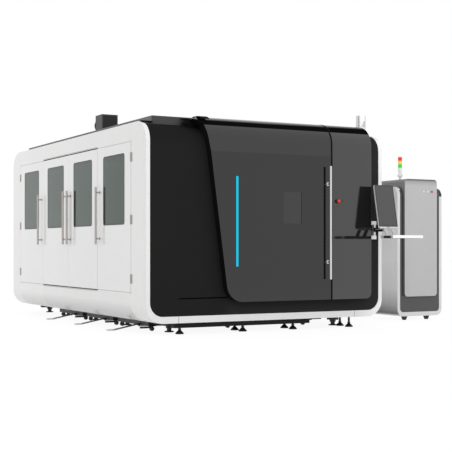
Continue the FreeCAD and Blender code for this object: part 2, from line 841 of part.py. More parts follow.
guide_pin = rod((door_guide_x, skin_back, guide_slot_height),
                (door_guide_x, fascia_recess + fascia_thickness, guide_slot_height),
                guide_slot_width - 4)
guide_block = block(door_guide_x - 14, door_guide_x + 90, skin_back,
                    -wrap_clearance - 4, guide_slot_height - 22, guide_slot_height + 14)
guide_block = guide_block.common(prism_xz(door_outline(0), wrap_front - 1, brow_back))
door_frame = joined([door_frame, guide_block, guide_pin])
save("front_door_frame", door_frame)

handle_y = wrap_front - front_handle_standoff
front_bar = rod((front_handle_x, handle_y, front_handle_bottom),
                (front_handle_x, handle_y, front_handle_top), front_handle_diameter)
front_posts = []
for height in front_handle_posts:
    front_posts.append(rod((front_handle_x, handle_y, height),
                           (front_handle_x, wrap_front, height), front_handle_diameter * 0.7))
    front_posts.append(rod((front_handle_x, wrap_front - 5, height),
                           (front_handle_x, wrap_front, height), front_handle_diameter * 1.4))
save("front_door_handle", joined([front_bar] + front_posts))

door_rail = block(rail_left, rail_right, rail_front, brow_back, rail_base, rail_top)
door_rail = door_rail.cut(block(
    rail_left - 1, rail_right + 1, rail_front - 1, brow_back - rail_wall,
    rail_base + rail_wall, rail_top - rail_wall))
save("front_door_rail", door_rail)

roller_diameter = rail_height - 2 * rail_wall - 2 * running_gap
roller_z = rail_base + rail_height / 2
hangers = []
for x in hanger_positions:
    roller = rod((x, rail_front + 6, roller_z),
                 (x, brow_back - rail_wall - 2, roller_z), roller_diameter)
    axle = rod((x, rail_front - 20, roller_z), (x, rail_front + 8, roller_z), 14)
    plate = block(x - hanger_width / 2, x + hanger_width / 2, wrap_front + 60, rail_front - 6,
                  roller_z - 18, wrap_top)
    plate = plate.common(wrap_inside)
    hangers.append(joined([roller, axle, plate]))
save("front_door_hangers", group(hangers))

stop_hole = rod((stop_x, wrap_front - 1, stop_height), (stop_x, skin_back, stop_height),
                stop_diameter * 0.55)
save("fixed_cover_skin", cover_skin.cut(stop_hole))
foot_block = block(cover_right - 200, cover_right - 120, wrap_front + 30, fascia_recess,
                   wrap_bottom + wrap_flange / 4, wrap_bottom + wrap_flange)
side_block = block(cover_right - wrap_flange, cover_right - wrap_flange / 2,
                   wrap_front + 30, fascia_recess, 900, 1000)
save("fixed_cover_frame", joined([cover_frame, foot_block, side_block]))

stop_front = wrap_front - 8
stop_stem = stop_diameter * 0.35
stop_collar = rod((stop_x, stop_front, stop_height), (stop_x, wrap_front, stop_height),
                  stop_diameter + 6)
stop_barrel = rod((stop_x, wrap_front, stop_height),
                  (stop_x, wrap_front + 40, stop_height), stop_diameter * 0.55)
stop_bore = rod((stop_x, stop_front - 1, stop_height), (stop_x, wrap_front + 30, stop_height),
                stop_stem + 2 * running_gap)
save("e_stop_collar", joined([stop_collar, stop_barrel]).cut(stop_bore))


def push_button(profile, x, y, height):
    """A round button turned from (radius, height) points, facing the front."""
    button = turned(profile, (0, 0, 0))
    button.rotate(Vector(0, 0, 0), Vector(1, 0, 0), 90)
    button.translate(Vector(x, y, height))
    return button


stem_length = 30.0
save("e_stop_button", push_button(
    [(0, 0), (stop_stem / 2, 0), (stop_stem / 2, stem_length),
     (stop_diameter / 2, stem_length + 4), (stop_diameter / 2, stem_length + 14),
     (stop_diameter * 0.38, stem_length + 22), (0, stem_length + 24)],
    stop_x, stop_front - stop_travel - running_gap + stem_length, stop_height))


# ---- bed: two hollow beams on legs, with rails and racks on top
def leg(x, y):
    return block(x - leg_width / 2, x + leg_width / 2, y - leg_width / 2, y + leg_width / 2,
                 foot_height, bed_beam_bottom)


leg_columns = (bed_left + leg_width / 2, bed_right - leg_width / 2)
beam_spans = ((bed_left, bed_left + bed_beam_width), (bed_right - bed_beam_width, bed_right))
bed_shapes = []
for x0, x1 in beam_spans:
    beam = block(x0, x1, bed_front, bed_back, bed_beam_bottom, bed_top)
    bed_shapes.append(beam.cut(block(
        x0 + bed_wall, x1 - bed_wall, bed_front - 1, bed_back + 1,
        bed_beam_bottom + bed_wall, bed_top - bed_wall)))
for y0 in (bed_front, bed_back - bed_beam_width):
    bed_shapes.append(block(bed_left + bed_beam_width, bed_right - bed_beam_width,
                            y0, y0 + bed_beam_width, bed_beam_bottom, bed_beam_bottom + 160))
for x in leg_columns:
    for y in leg_rows:
        bed_shapes.append(leg(x, y))
save("bed_frame", joined(bed_shapes))

frame_left = bed_left + bed_beam_width
frame_right = bed_right - bed_beam_width
slat_frame = block(frame_left, frame_right, slat_frame_front, slat_frame_back,
                   slat_frame_bottom, slat_frame_top)
slat_frame = slat_frame.cut(block(
    frame_left + slat_frame_wall, frame_right - slat_frame_wall,
    slat_frame_front + slat_frame_wall, slat_frame_back - slat_frame_wall,
    slat_frame_bottom - 1, slat_frame_top + 1))
slat_left = frame_left + slat_frame_wall / 2
slat_right = frame_right - slat_frame_wall / 2
slat_row = slat_pitch * (slat_count - 1)
slat_first = (slat_frame_front + slat_frame_back - slat_row) / 2


def slat(y):
    """One upright blade with a toothed top edge."""
    base = slat_frame_top - slat_seat
    tooth = (slat_right - slat_left) / slat_teeth
    corners = [(slat_left, base, 0), (slat_right, base, 0), (slat_right, slat_top - slat_notch, 0)]
    for index in range(slat_teeth, 0, -1):
        peak = slat_left + tooth * (index - 0.5)
        corners.append((peak, slat_top, 0))
        corners.append((slat_left + tooth * (index - 1), slat_top - slat_notch, 0))
    return prism_xz(corners, y - slat_thickness / 2, y + slat_thickness / 2)


slat_places = [slat_first + slat_pitch * index for index in range(slat_count)]
seats = [block(slat_left, slat_right, y - slat_thickness / 2, y + slat_thickness / 2,
               slat_frame_top - slat_seat, slat_frame_top + 1) for y in slat_places]
save("slat_frame", slat_frame.cut(seats))
save("slats", group([slat(y) for y in slat_places]))

guide_rails = []
rail_lines = (bed_left + bed_beam_width / 2, bed_right - bed_beam_width / 2)
run_front = gantry_y + gantry_travel_front - carriage_length / 2 - rail_spare
for x, side in zip(rail_lines, (1, -1)):
    guide_rails.append(block(x - rail_width / 2, x + rail_width / 2, run_front, run_back,
                             bed_top, bed_top + rail_rise))
    rack_x = x + side * (rail_width / 2 + 18 + rack_width / 2)
    guide_rails.append(block(rack_x - rack_width / 2, rack_x + rack_width / 2, run_front,
                             run_back, bed_top, bed_top + rack_width))
    for y0 in (run_front - buffer_length, run_back):
        guide_rails.append(block(x - rail_width, x + rail_width, y0, y0 + buffer_length,
                                 bed_top, bed_top + buffer_height))
save("guide_rails", group(guide_rails))


# ---- gantry: box beam with end carriages that straddle the rails
gantry_shapes = []
beam = block(rail_lines[0] - carriage_width / 2, rail_lines[1] + carriage_width / 2,
             gantry_y - gantry_depth / 2, gantry_y + gantry_depth / 2,
             gantry_beam_bottom, gantry_beam_bottom + gantry_beam_height)
gantry_shapes.append(beam.cut(block(
    rail_lines[0] - carriage_width, rail_lines[1] + carriage_width,
    gantry_y - gantry_depth / 2 + gantry_wall, gantry_y + gantry_depth / 2 - gantry_wall,
    gantry_beam_bottom + gantry_wall, gantry_beam_bottom + gantry_beam_height - gantry_wall)))
for x in rail_lines:
    gantry_shapes.append(block(x - carriage_width / 2, x + carriage_width / 2,
                               gantry_y - carriage_length / 2, gantry_y + carriage_length / 2,
                               carriage_bottom, gantry_beam_bottom))
    for y in (gantry_y - carriage_length / 2, gantry_y + carriage_length / 2 - 70):
        for side in (-1, 1):
            shoe_x = x + side * (rail_width / 2 + running_gap + 5)
            gantry_shapes.append(block(shoe_x - 5, shoe_x + 5, y, y + 70,
                                       bed_top + 6, carriage_bottom))
beam_front = gantry_y - gantry_depth / 2
head_run = (head_x + head_travel_left - head_width / 2 - rail_spare, head_run_end)
for z in (gantry_beam_bottom + 40, gantry_beam_bottom + gantry_beam_height - 64):
    gantry_shapes.append(block(head_run[0], head_run[1], beam_front - head_rail_rise,
                               beam_front, z, z + head_rail_width))
save("gantry_beam", joined(gantry_shapes))

head_bottom = gantry_beam_bottom - 30
head_height = head_plate_height + focus_travel
carriage_front = beam_front - head_rail_rise - running_gap - head_thickness
head_carriage = block(head_x - head_width / 2, head_x + head_width / 2, carriage_front,
                      beam_front - head_rail_rise - running_gap, head_bottom, head_bottom + head_height)
column_width = focus_body + 60
head_guides = [block(head_x + side * (column_width / 2 - 20) - 12,
                     head_x + side * (column_width / 2 - 20) + 12,
                     carriage_front - 16, carriage_front, head_bottom + 10,
                     head_bottom + head_height - 10) for side in (-1, 1)]
save("head_carriage", joined([head_carriage] + head_guides))
head_axis = carriage_front - 16 - running_gap - 20 - focus_body / 2
head_plate = block(head_x - column_width / 2, head_x + column_width / 2,
                   head_axis + focus_body / 2 - 10, carriage_front - 16 - running_gap,
                   head_bottom - head_plate_drop,
                   head_bottom - head_plate_drop + head_plate_height)
focus_head = turned([
    (0, 0), (4, 0), (14, 24), (20, 26), (20, 56), (focus_body / 2, 84),
    (focus_body / 2, 300), (focus_body * 0.36, 306), (focus_body * 0.36, 372), (0, 372)],
    (head_x, head_axis, nozzle_z))
save("cutting_head", joined([focus_head, head_plate]))

# ---- base frame under the cabin, levelling feet
frame_shapes = []
for left, y0 in ((base_left, base_beam_front), (base_left + inner_beam_left, inner_beam_front),
                 (base_left, bed_back)):
    y1 = y0 + base_beam_depth
    frame_shapes.append(block(left, beam_step, y0, y1, foot_height, base_beam_top))
    frame_shapes.append(block(beam_step, beam_second_step, y0, y1, beam_middle_bottom,
                              base_beam_top))
    frame_shapes.append(block(beam_second_step, base_right, y0, y1, skirt_height, base_beam_top))
for x in front_feet[1:]:
    frame_shapes.append(block(x - beam_tie / 2, x + beam_tie / 2,
                              base_beam_front + base_beam_depth, inner_beam_front,
                              skirt_height, base_beam_top))
for y0 in (base_beam_front, bed_back):
    y1 = y0 + base_beam_depth
    frame_shapes.append(block(wall, cabin_width - wall, y0, y1, sill_bottom, sill_top))
    for x0 in (base_left, base_right - base_beam_depth):
        frame_shapes.append(block(x0, x0 + base_beam_depth, y0, y1, base_beam_top, sill_bottom))
for x0 in (wall, cabin_width - wall - sill_width):
    frame_shapes.append(block(x0, x0 + sill_width, ring_depth, cabin_length - wall,
                              sill_bottom, sill_top))
for x in leg_columns:
    frame_shapes.append(block(x - 30, x + 30, base_beam_front + base_beam_depth,
                              leg_rows[0] - leg_width / 2, sill_bottom, sill_top))
save("base_frame", joined(frame_shapes))


def levelling_foot(x, y, height):
    """Bell-shaped foot with its stud, turned."""
    rim = foot_diameter / 2
    stud = stud_diameter / 2
    return turned([(0, 0), (rim, 0), (rim, foot_rim), (stud, foot_bell),
                   (stud, height), (0, height)], (x, y, 0))


def bed_foot(x, y):
    """Flat foot with a thick stud under a leg of the bed, turned."""
    rim = bed_foot_diameter / 2
    stud = bed_stud_diameter / 2
    return turned([(0, 0), (rim, 0), (rim, bed_foot_rim), (stud, bed_foot_rim),
                   (stud, foot_height), (0, foot_height)], (x, y, 0))


def cabinet_foot(x, y):
    """Rubber foot that tapers downwards, turned."""
    return turned([(0, 0), (cabinet_foot_base / 2, 0), (cabinet_foot_top / 2, cabinet_bottom),
                   (0, cabinet_bottom)], (x, y, 0))


feet = []
rear_line = bed_back + base_beam_depth / 2
for x in front_feet:
    stud_top = foot_height if x < beam_step else skirt_height
    feet.append(levelling_foot(x, base_beam_front + base_beam_depth / 2, stud_top))
    if x > front_feet[0]:
        feet.append(levelling_foot(x, inner_line, stud_top))
        feet.append(levelling_foot(x, rear_line, stud_top))
for x in leg_columns:
    for y in leg_rows:
        feet.append(bed_foot(x, y))
save("levelling_feet", group(feet))


# ---- slag carts that pull out under the skirt, each with a hinged tow bar
def slag_cart(centre):
    """A shallow tray on low wheels, with lugs and a pin for its tow bar."""
    y0 = centre - cart_width / 2
    y1 = centre + cart_width / 2
    tow_y = centre - tow_offset
    tray = block(cart_left, cart_right, y0, y1, cart_floor, cart_top)
    tray = tray.cut(block(cart_left + cart_sheet, cart_right - cart_sheet, y0 + cart_sheet,
                          y1 - cart_sheet, cart_floor + cart_sheet, cart_top + 1))
    shapes = [tray]
    for x in axle_positions:
        for y in (y0, y1 - wheel_width):
            shapes.append(rod((x, y, wheel_diameter / 2), (x, y + wheel_width, wheel_diameter / 2),
                              wheel_diameter))
            shapes.append(block(x - 9, x + 9, y, y + wheel_width, wheel_diameter * 0.8,
                                cart_floor))
    for side in (-1, 1):
        lug_y = tow_y + side * (tow_width / 2 + running_gap + 4)
        shapes.append(block(tow_pivot_x - 8, cart_left, lug_y - 4, lug_y + 4,
                            tow_pivot_z - 8, tow_pivot_z + 8))
    reach = tow_width / 2 + running_gap + 8
    shapes.append(rod((tow_pivot_x, tow_y - reach, tow_pivot_z),
                      (tow_pivot_x, tow_y + reach, tow_pivot_z), tow_pin))
    return joined(shapes)


def tow_bar(centre):
    """A flat bar from the cart's pin down to a grip pad that rests by the floor."""
    half = tow_width / 2
    length = (tow_pivot_x - tow_end_x) / math.cos(tow_drop)
    bar = block(-length, 0, -half, half, -tow_sheet / 2, tow_sheet / 2)
    eye = rod((0, -half, 0), (0, half, 0), tow_eye)
    pad = block(-length - tow_pad, -length + 2, -half - 10, half + 10,
                -tow_pad_height / 2, tow_pad_height / 2)
    body = joined([bar, eye])
    body.rotate(Vector(0, 0, 0), Vector(0, 1, 0), -math.degrees(tow_drop))
    pad.rotate(Vector(-length, 0, 0), Vector(0, 1, 0), math.degrees(tow_drop))
    pad.rotate(Vector(0, 0, 0), Vector(0, 1, 0), -math.degrees(tow_drop))
    body = joined([body, pad])
    bore = rod((0, -half - 1, 0), (0, half + 1, 0), tow_pin + 2 * running_gap)
    body = body.cut(bore)
    body.translate(Vector(tow_pivot_x, centre, tow_pivot_z))
    return body


for number in range(1, cart_count + 1):
    centre = cart_first + cart_pitch * (number - 1)
    save("slag_cart_" + str(number), slag_cart(centre))
    save("tow_bar_" + str(number), tow_bar(centre - tow_offset))

# ---- roof equipment
fan_top = roof_top + fan_height
fan_box = prism_xy(rectangle(fan_left, fan_left + fan_width, fan_front,
                             fan_front + fan_depth, 6), roof_top, fan_top)
fan_axis = (fan_left + fan_width / 2, fan_front + fan_depth, roof_top + fan_height * 0.45)
fan_collar = rod(fan_axis, (fan_axis[0], fan_axis[1] + 38, fan_axis[2]), fan_outlet)
save("roof_fan_box", joined([fan_box, fan_collar]))

vent_left = cabin_width - roof_inset + sheet_gap
vent = block(vent_left, vent_left + vent_width, vent_front, vent_front + vent_width,
             cabin_top, vent_top)
louvre_pitch = 15.0
louvres = []
for index in range(vent_louvres):
    z = roof_top + 24 + louvre_pitch * index
    reach = vent_width * (0.62 - 0.1 * index)
    louvres.append(block(vent_left + vent_width - 8 - reach, vent_left + vent_width - 8,
                         vent_front - 1, vent_front + 5, z, z + 7))
save("roof_vent", vent.cut(louvres))

# ---- console: bracket on the fascia, swinging arm, tray and tilting monitor
half_block = bracket_block / 2
bracket_shapes = [block(bracket_x - 4, bracket_x + half_block, -bracket_plate, fascia_recess,
                        bracket_low, bracket_high)]
for z in (bracket_low, bracket_high):
    bracket_shapes.append(block(bracket_x - half_block, bracket_x + half_block,
                                pivot_y - half_block, fascia_recess,
                                z - half_block, z + half_block))
pivot_pin = pivot_diameter * 0.45
bracket = joined(bracket_shapes).cut(rod(
    (bracket_x, pivot_y, bracket_low - half_block - 1),
    (bracket_x, pivot_y, bracket_high + half_block + 1), pivot_pin + 2 * running_gap))
save("console_bracket", bracket)

tube_low = bracket_low + half_block + running_gap
tube_high = bracket_high - half_block - running_gap
half_arm = arm_width / 2
arm_low = arm_height - arm_thickness / 2
arm_end = pivot_y - arm_reach
monitor_x = monitor_left + monitor_width / 2
tilt_y = monitor_y + monitor_thickness / 2
tilt_z = monitor_bottom - 14
yoke_top = monitor_bottom - yoke_drop
yoke_side = (leg_pitch + console_leg_width) / 2
cross_plate_back = -tray_front + tray_depth + cross_plate_depth
arm_shapes = [rod((bracket_x, pivot_y, tube_low), (bracket_x, pivot_y, tube_high),
                  pivot_diameter),
              rod((bracket_x, pivot_y, bracket_low - half_block),
                  (bracket_x, pivot_y, bracket_high + half_block), pivot_pin),
              block(bracket_x - half_arm, bracket_x + half_arm, arm_end, pivot_y,
                    arm_low, arm_low + arm_thickness),
              block(monitor_x - yoke_side, monitor_x + yoke_side, tilt_y - 16, arm_end + 12,
                    yoke_top - yoke_sheet, yoke_top)]
tray_top = tray_bottom + tray_thickness
leg_top_y = tilt_y - 16
for side in (-1, 1):
    leg_x = monitor_x + side * leg_pitch / 2
    arm_shapes.append(prism_yz([
        (leg_top_y, yoke_top, 0), (leg_top_y + yoke_sheet, yoke_top, 0),
        (leg_top_y + yoke_sheet - console_leg_run, tray_top - cross_plate_sheet, 0),
        (leg_top_y - console_leg_run, tray_top - cross_plate_sheet, 0)],
        leg_x - console_leg_width / 2, leg_x + console_leg_width / 2))
cross_plate_low = tray_top - 2 - cross_plate_sheet
arm_shapes.append(prism_yz([
    (cross_plate_back, cross_plate_low - cross_plate_rise, 0),
    (cross_plate_back, cross_plate_low - cross_plate_rise + cross_plate_sheet, 0),
    (-tray_front + tray_depth, cross_plate_low + cross_plate_sheet, 0),
    (-tray_front + tray_depth, cross_plate_low, 0)],
    monitor_x - cross_plate_width / 2, monitor_x + cross_plate_width / 2))
knuckle_half = half_arm
knuckle_size = 16.0
tilt_pin = 8.0
arm_shapes.append(block(monitor_x - knuckle_half, monitor_x + knuckle_half,
                        tilt_y - 7, tilt_y + 7, yoke_top - yoke_sheet, tilt_z))
arm_shapes.append(rod((monitor_x - knuckle_half, tilt_y, tilt_z),
                      (monitor_x + knuckle_half, tilt_y, tilt_z), knuckle_size))
lug = 100.0
arm_shapes.append(rod((monitor_x - knuckle_half - lug, tilt_y, tilt_z),
                      (monitor_x + knuckle_half + lug, tilt_y, tilt_z), tilt_pin))
save("console_arm", joined(arm_shapes))

tray = prism_xy(rectangle(tray_left, tray_left + tray_width, machine_front,
                          machine_front + tray_depth, 10), tray_bottom, tray_top)
keyboard_well = prism_xy(rectangle(tray_left + 80, tray_left + tray_width - 12,
                                   machine_front + 12, machine_front + tray_depth - 12, 6),
                         tray_top - 7, tray_top + 1)
save("console_tray", tray.cut(keyboard_well))

monitor_shapes = [prism_xz(rectangle(
    monitor_left, monitor_left + monitor_width, monitor_bottom,
    monitor_bottom + monitor_height, 8), monitor_y, monitor_y + monitor_thickness)]
for side in (-1, 1):
    inner_x = monitor_x + side * (knuckle_half + running_gap)
    outer_x = inner_x + side * lug
    monitor_shapes.append(rod((min(inner_x, outer_x), tilt_y, tilt_z),
                              (max(inner_x, outer_x), tilt_y, tilt_z), knuckle_size))
    monitor_shapes.append(block(min(inner_x, outer_x), max(inner_x, outer_x),
                                tilt_y - 7, tilt_y + 7, tilt_z, monitor_bottom))
monitor = joined(monitor_shapes).cut(rod(
    (monitor_x - monitor_width / 2, tilt_y, tilt_z),
    (monitor_x + monitor_width / 2, tilt_y, tilt_z),
    tilt_pin + 2 * running_gap))
monitor.rotate(Vector(monitor_x, tilt_y, tilt_z), Vector(1, 0, 0), -monitor_tilt)
save("monitor", monitor)

# ---- laser and control cabinet with its light tower
cabinet_right = cabinet_left + cabinet_width
cabinet_back = cabinet_front + cabinet_depth


def cabinet_outline(inset, foot_inset):
    """Front view of the cabinet, moved inwards; its foot may move in further."""
    low = cabinet_radius - inset
    return [(cabinet_left + inset, cabinet_bottom + foot_inset, low),
            (cabinet_right - inset, cabinet_bottom + foot_inset, low),
            (cabinet_right - inset, cabinet_top - inset, 12),
            (cabinet_left + inset, cabinet_top - inset, 12)]


def cabinet_side(inset):
    """Everything behind and under the cabinet's rolled front and top, moved inwards."""
    return prism_yz([
        (cabinet_front + inset, 0, 0), (cabinet_back + 1, 0, 0),
        (cabinet_back + 1, cabinet_top - inset, 0),
        (cabinet_front + inset, cabinet_top - inset, cabinet_brow - inset)],
        cabinet_left - 1, cabinet_right + 1)


panel_setback = 4.0
panel_sheet = 16.0
cabinet_wall = 18.0
panel_back = panel_setback + panel_sheet
panel_window = prism_xz(cabinet_outline(cabinet_rim, cabinet_foot_rim),
                        cabinet_front - 1, cabinet_front + cabinet_brow)
panel_pocket = panel_window.cut(cabinet_side(panel_back))
cabinet_body = prism_xz(cabinet_outline(0, 0), cabinet_front, cabinet_back).common(
    cabinet_side(0))
cabinet_body = cabinet_body.cut(prism_xz(
    cabinet_outline(cabinet_wall, cabinet_wall), cabinet_front + panel_back,
    cabinet_back - cabinet_wall).common(cabinet_side(panel_back)))
cabinet_body = cabinet_body.cut(panel_pocket)
save("cabinet_body", cabinet_body)
save("cabinet_panel", panel_pocket.common(cabinet_side(panel_setback)))

cover_left = cabinet_left + cover_inset_left
cover_side = cabinet_right - cover_inset_right
cover_front = cabinet_front - cover_proud
cover_top = cabinet_top + cover_hood
hood_sheet = 10.0
cover = prism_xz(rectangle(cover_left, cover_side, cover_bottom, cover_top, cover_corner),
                 cover_front, cabinet_back)
cover = cover.cut(cabinet_side(0).cut(panel_window))
cover = cover.cut(cabinet_side(panel_setback))
cover = cover.cut(block(cover_left + hood_sheet, cover_side - hood_sheet,
                        cabinet_front + cabinet_brow, cabinet_back - hood_sheet,
                        cabinet_top, cover_top - hood_sheet - cover_corner / 2))
button_stem = button_diameter * 0.5
button_depth = 22.0
cover = cover.cut(rod((button_x, cover_front - 1, button_height),
                      (button_x, cover_front + button_depth, button_height),
                      button_stem + 2 * running_gap))
save("cabinet_cover", cover)
button_rise = 12.0
button_base = cover_front - button_travel - running_gap + button_depth - 8
save("cabinet_button", push_button(
    [(0, 0), (button_stem / 2, 0), (button_stem / 2, button_depth - 8),
     (button_diameter / 2, button_depth - 8), (button_diameter / 2, button_depth - 4),
     (button_diameter * 0.36, button_depth + button_rise - 8),
     (0, button_depth + button_rise - 8)], button_x, button_base, button_height))
save("cabinet_lamps", group([
    rod((x, cover_front - 7, button_height), (x, cover_front, button_height),
        pilot_lamp_diameter) for x in pilot_lamps_x]))
save("cabinet_feet", group([
    cabinet_foot(x, y) for x, y in zip(cabinet_feet_x, cabinet_feet_y)]))

collar = tower_collar / 2
stem = tower_stem / 2
drum = tower_diameter / 2
save("tower_base", turned([
    (0, 0), (stem, 0), (stem, 38), (collar, 38), (collar, 72), (stem, 74), (stem, 92),
    (drum, 92), (drum, tower_base), (0, tower_base)], (tower_x, tower_y, cover_top)))
lamps = []
for index in range(3):
    z = cover_top + tower_base + lamp_height * index
    lamps.append(turned([(0, 0), (drum, 0), (drum, lamp_height - 3), (drum - 3, lamp_height),
                         (0, lamp_height)], (tower_x, tower_y, z)))
save("tower_lamps", group(lamps))

duct_left = cabin_width - post_return
save("cable_duct", block(duct_left, duct_end, cabinet_back, cabinet_back + duct_width,
                         duct_bottom, skirt_height))
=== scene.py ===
import json
import math
import bmesh
import bpy
from mathutils import Matrix, Vector

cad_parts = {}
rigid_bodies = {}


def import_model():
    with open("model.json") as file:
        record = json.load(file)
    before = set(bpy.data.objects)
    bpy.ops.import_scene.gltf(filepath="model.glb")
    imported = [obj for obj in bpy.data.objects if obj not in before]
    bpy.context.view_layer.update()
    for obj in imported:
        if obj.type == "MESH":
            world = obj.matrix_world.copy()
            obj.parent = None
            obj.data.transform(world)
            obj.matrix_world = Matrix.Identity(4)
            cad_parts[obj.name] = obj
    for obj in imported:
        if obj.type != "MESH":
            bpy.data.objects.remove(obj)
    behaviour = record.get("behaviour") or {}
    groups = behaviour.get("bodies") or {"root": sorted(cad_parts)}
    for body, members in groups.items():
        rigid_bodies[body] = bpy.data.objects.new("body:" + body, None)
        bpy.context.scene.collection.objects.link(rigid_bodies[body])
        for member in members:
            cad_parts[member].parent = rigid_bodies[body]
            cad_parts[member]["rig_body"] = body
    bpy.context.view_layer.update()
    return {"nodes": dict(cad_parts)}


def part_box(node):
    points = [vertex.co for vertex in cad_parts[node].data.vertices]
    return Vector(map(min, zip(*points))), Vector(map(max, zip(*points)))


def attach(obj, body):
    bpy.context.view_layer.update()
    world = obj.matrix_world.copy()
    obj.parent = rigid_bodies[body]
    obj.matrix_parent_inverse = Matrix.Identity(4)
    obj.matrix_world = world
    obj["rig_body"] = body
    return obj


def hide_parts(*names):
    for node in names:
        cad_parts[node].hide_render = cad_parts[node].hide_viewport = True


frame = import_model()


# ---- Camera
# It stands in front of the left corner at chest height and looks in along the cabin, level. The
# lens is raised instead of tilted, so that upright edges stay upright in the picture.
corner_place = Vector((*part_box("front_ring")[0][:2], 0))   # the cabin's front left corner


def at(x, y, z):
    """A place in the frame, from millimetres right, back and up from the front left corner."""
    return corner_place + Vector((x, y, z)) / 1000


picture_width = 452
focal_pixels = 1051.74
raised_pixels = 21.33
look_right = 28.1754

lens = bpy.data.cameras.new("camera")
lens.sensor_width = 36.0
lens.lens = lens.sensor_width * focal_pixels / picture_width
lens.shift_y = raised_pixels / picture_width
lens.clip_end = 200.0
camera = bpy.data.objects.new("camera", lens)
camera.location = at(-4310.3, -9763.4, 907.2)
camera.rotation_euler = (math.radians(90), 0, math.radians(-look_right))
bpy.context.scene.collection.objects.link(camera)
bpy.context.scene.camera = camera


# ---- Floor and light
# A smooth pale studio floor under an even white sky, with a large soft lamp at the front left and
# weaker ones at the right and at the rear left.
def new_piece(name, form):
    """Makes an object of a bmesh, and frees the bmesh."""
    mesh = bpy.data.meshes.new(name)
    form.to_mesh(mesh)
    form.free()
    piece = bpy.data.objects.new(name, mesh)
    bpy.context.scene.collection.objects.link(piece)
    return piece


def bare_material(name):
    """A material with a principled shader, and its node tree."""
    material = bpy.data.materials.new(name)
    material.use_nodes = True
    tree = material.node_tree
    return material, tree.nodes["Principled BSDF"], tree


def worked(tree, operation, *values):
    """What a maths node makes of its values, each a number or another node's output."""
    step = tree.nodes.new("ShaderNodeMath")
    step.operation = operation
    for socket, value in zip(step.inputs, values):
        if isinstance(value, bpy.types.NodeSocket):
            tree.links.new(value, socket)
        else:
            socket.default_value = value
    return step.outputs[0]


def seen_directly(tree):
    """One for camera, glossy and transmitted rays, nought for the light that falls on things."""
    rays = tree.nodes.new("ShaderNodeLightPath").outputs
    either = worked(tree, "MAXIMUM", rays["Is Camera Ray"], rays["Is Glossy Ray"])
    return worked(tree, "MAXIMUM", either, rays["Is Transmission Ray"])


floor_tone = 0.86
floor_glow = 1.03
glow_share = 0.9
sky_light = 0.82
sky_white = 1.0

form = bmesh.new()
bmesh.ops.create_grid(form, x_segments=1, y_segments=1, size=60.0)
floor = new_piece("floor", form)
studio, shader, tree = bare_material("studio floor")
shader.inputs["Base Color"].default_value = (floor_tone, floor_tone, floor_tone, 1)
shader.inputs["Roughness"].default_value = 0.9
shader.inputs["Specular IOR Level"].default_value = 0.0
glow = tree.nodes.new("ShaderNodeEmission")
glow.inputs["Color"].default_value = (1, 1, 1, 1)
glow.inputs["Strength"].default_value = floor_glow
lit = tree.nodes.new("ShaderNodeMixShader")
tree.links.new(worked(tree, "MULTIPLY", seen_directly(tree), glow_share), lit.inputs[0])
tree.links.new(shader.outputs[0], lit.inputs[1])
tree.links.new(glow.outputs[0], lit.inputs[2])
tree.links.new(lit.outputs[0], tree.nodes["Material Output"].inputs["Surface"])
floor.data.materials.append(studio)

sky = bpy.data.worlds.new("sky")
sky.use_nodes = True
bpy.context.scene.world = sky
tree = sky.node_tree
strength = worked(tree, "MULTIPLY_ADD", seen_directly(tree), sky_white - sky_light, sky_light)
backdrop = tree.nodes["Background"]
backdrop.inputs["Color"].default_value = (1, 1, 1, 1)
tree.links.new(strength, backdrop.inputs["Strength"])


def soft_lamp(name, size, energy, place, pitch, turn):
    """A large rectangular lamp that lights the object without showing in it."""
    lamp = bpy.data.lights.new(name, "AREA")
    lamp.shape = "RECTANGLE"
    lamp.size, lamp.size_y = size
    lamp.energy = energy
    holder = bpy.data.objects.new(name, lamp)
    holder.location = place
    holder.rotation_euler = (math.radians(pitch), 0, math.radians(turn))
    holder.visible_glossy = False
    holder.visible_camera = False
    bpy.context.scene.collection.objects.link(holder)


soft_lamp("front lamp", (8.0, 5.0), 250.0, (-3.0, -9.5, 6.5), 58, -16)
soft_lamp("right lamp", (5.0, 4.0), 60.0, (6.5, -9.0, 4.0), 68, 34)
soft_lamp("rear left lamp", (3.0, 3.0), 60.0, (-7.5, 5.5, 2.5), 80, -118)


# ---- Base frame and levelling feet
# Welded square tube under the cabin, sprayed satin charcoal, on levelling feet of cast iron with
# a black finish. The feet screw into plates under the tubes, each locked with a nut.
def finished(name, node, edge=0.0012, crease=32.0):
    """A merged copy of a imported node, smooth over its curves, with its edges eased."""
    source = frame["nodes"][node]
    form = bmesh.new()
    form.from_mesh(source.data)
    bmesh.ops.remove_doubles(form, verts=form.verts, dist=0.00002)
    bmesh.ops.dissolve_limit(form, angle_limit=math.radians(0.5), verts=form.verts,
                             edges=form.edges)
    for face in form.faces:
        face.smooth = True
    for line in form.edges:
        line.smooth = (len(line.link_faces) == 2
                       and line.calc_face_angle(0) < math.radians(crease))
    piece = new_piece(name, form)
    if "custom_normal" in piece.data.attributes:
        piece.data.attributes.remove(piece.data.attributes["custom_normal"])
    if edge:
        ease = piece.modifiers.new("eased edges", "BEVEL")
        ease.width = edge
        ease.segments = 2
        ease.limit_method = "ANGLE"
        ease.angle_limit = math.radians(crease)
    level = piece.modifiers.new("even shading", "WEIGHTED_NORMAL")
    level.keep_sharp = True
    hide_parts(node)
    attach(piece, source["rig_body"])
    return piece


def own_place(tree):
    """The place on the piece itself, in metres, from the material's one coordinate node."""
    source = tree.nodes.get("Texture Coordinate") or tree.nodes.new("ShaderNodeTexCoord")
    return source.outputs["Object"]


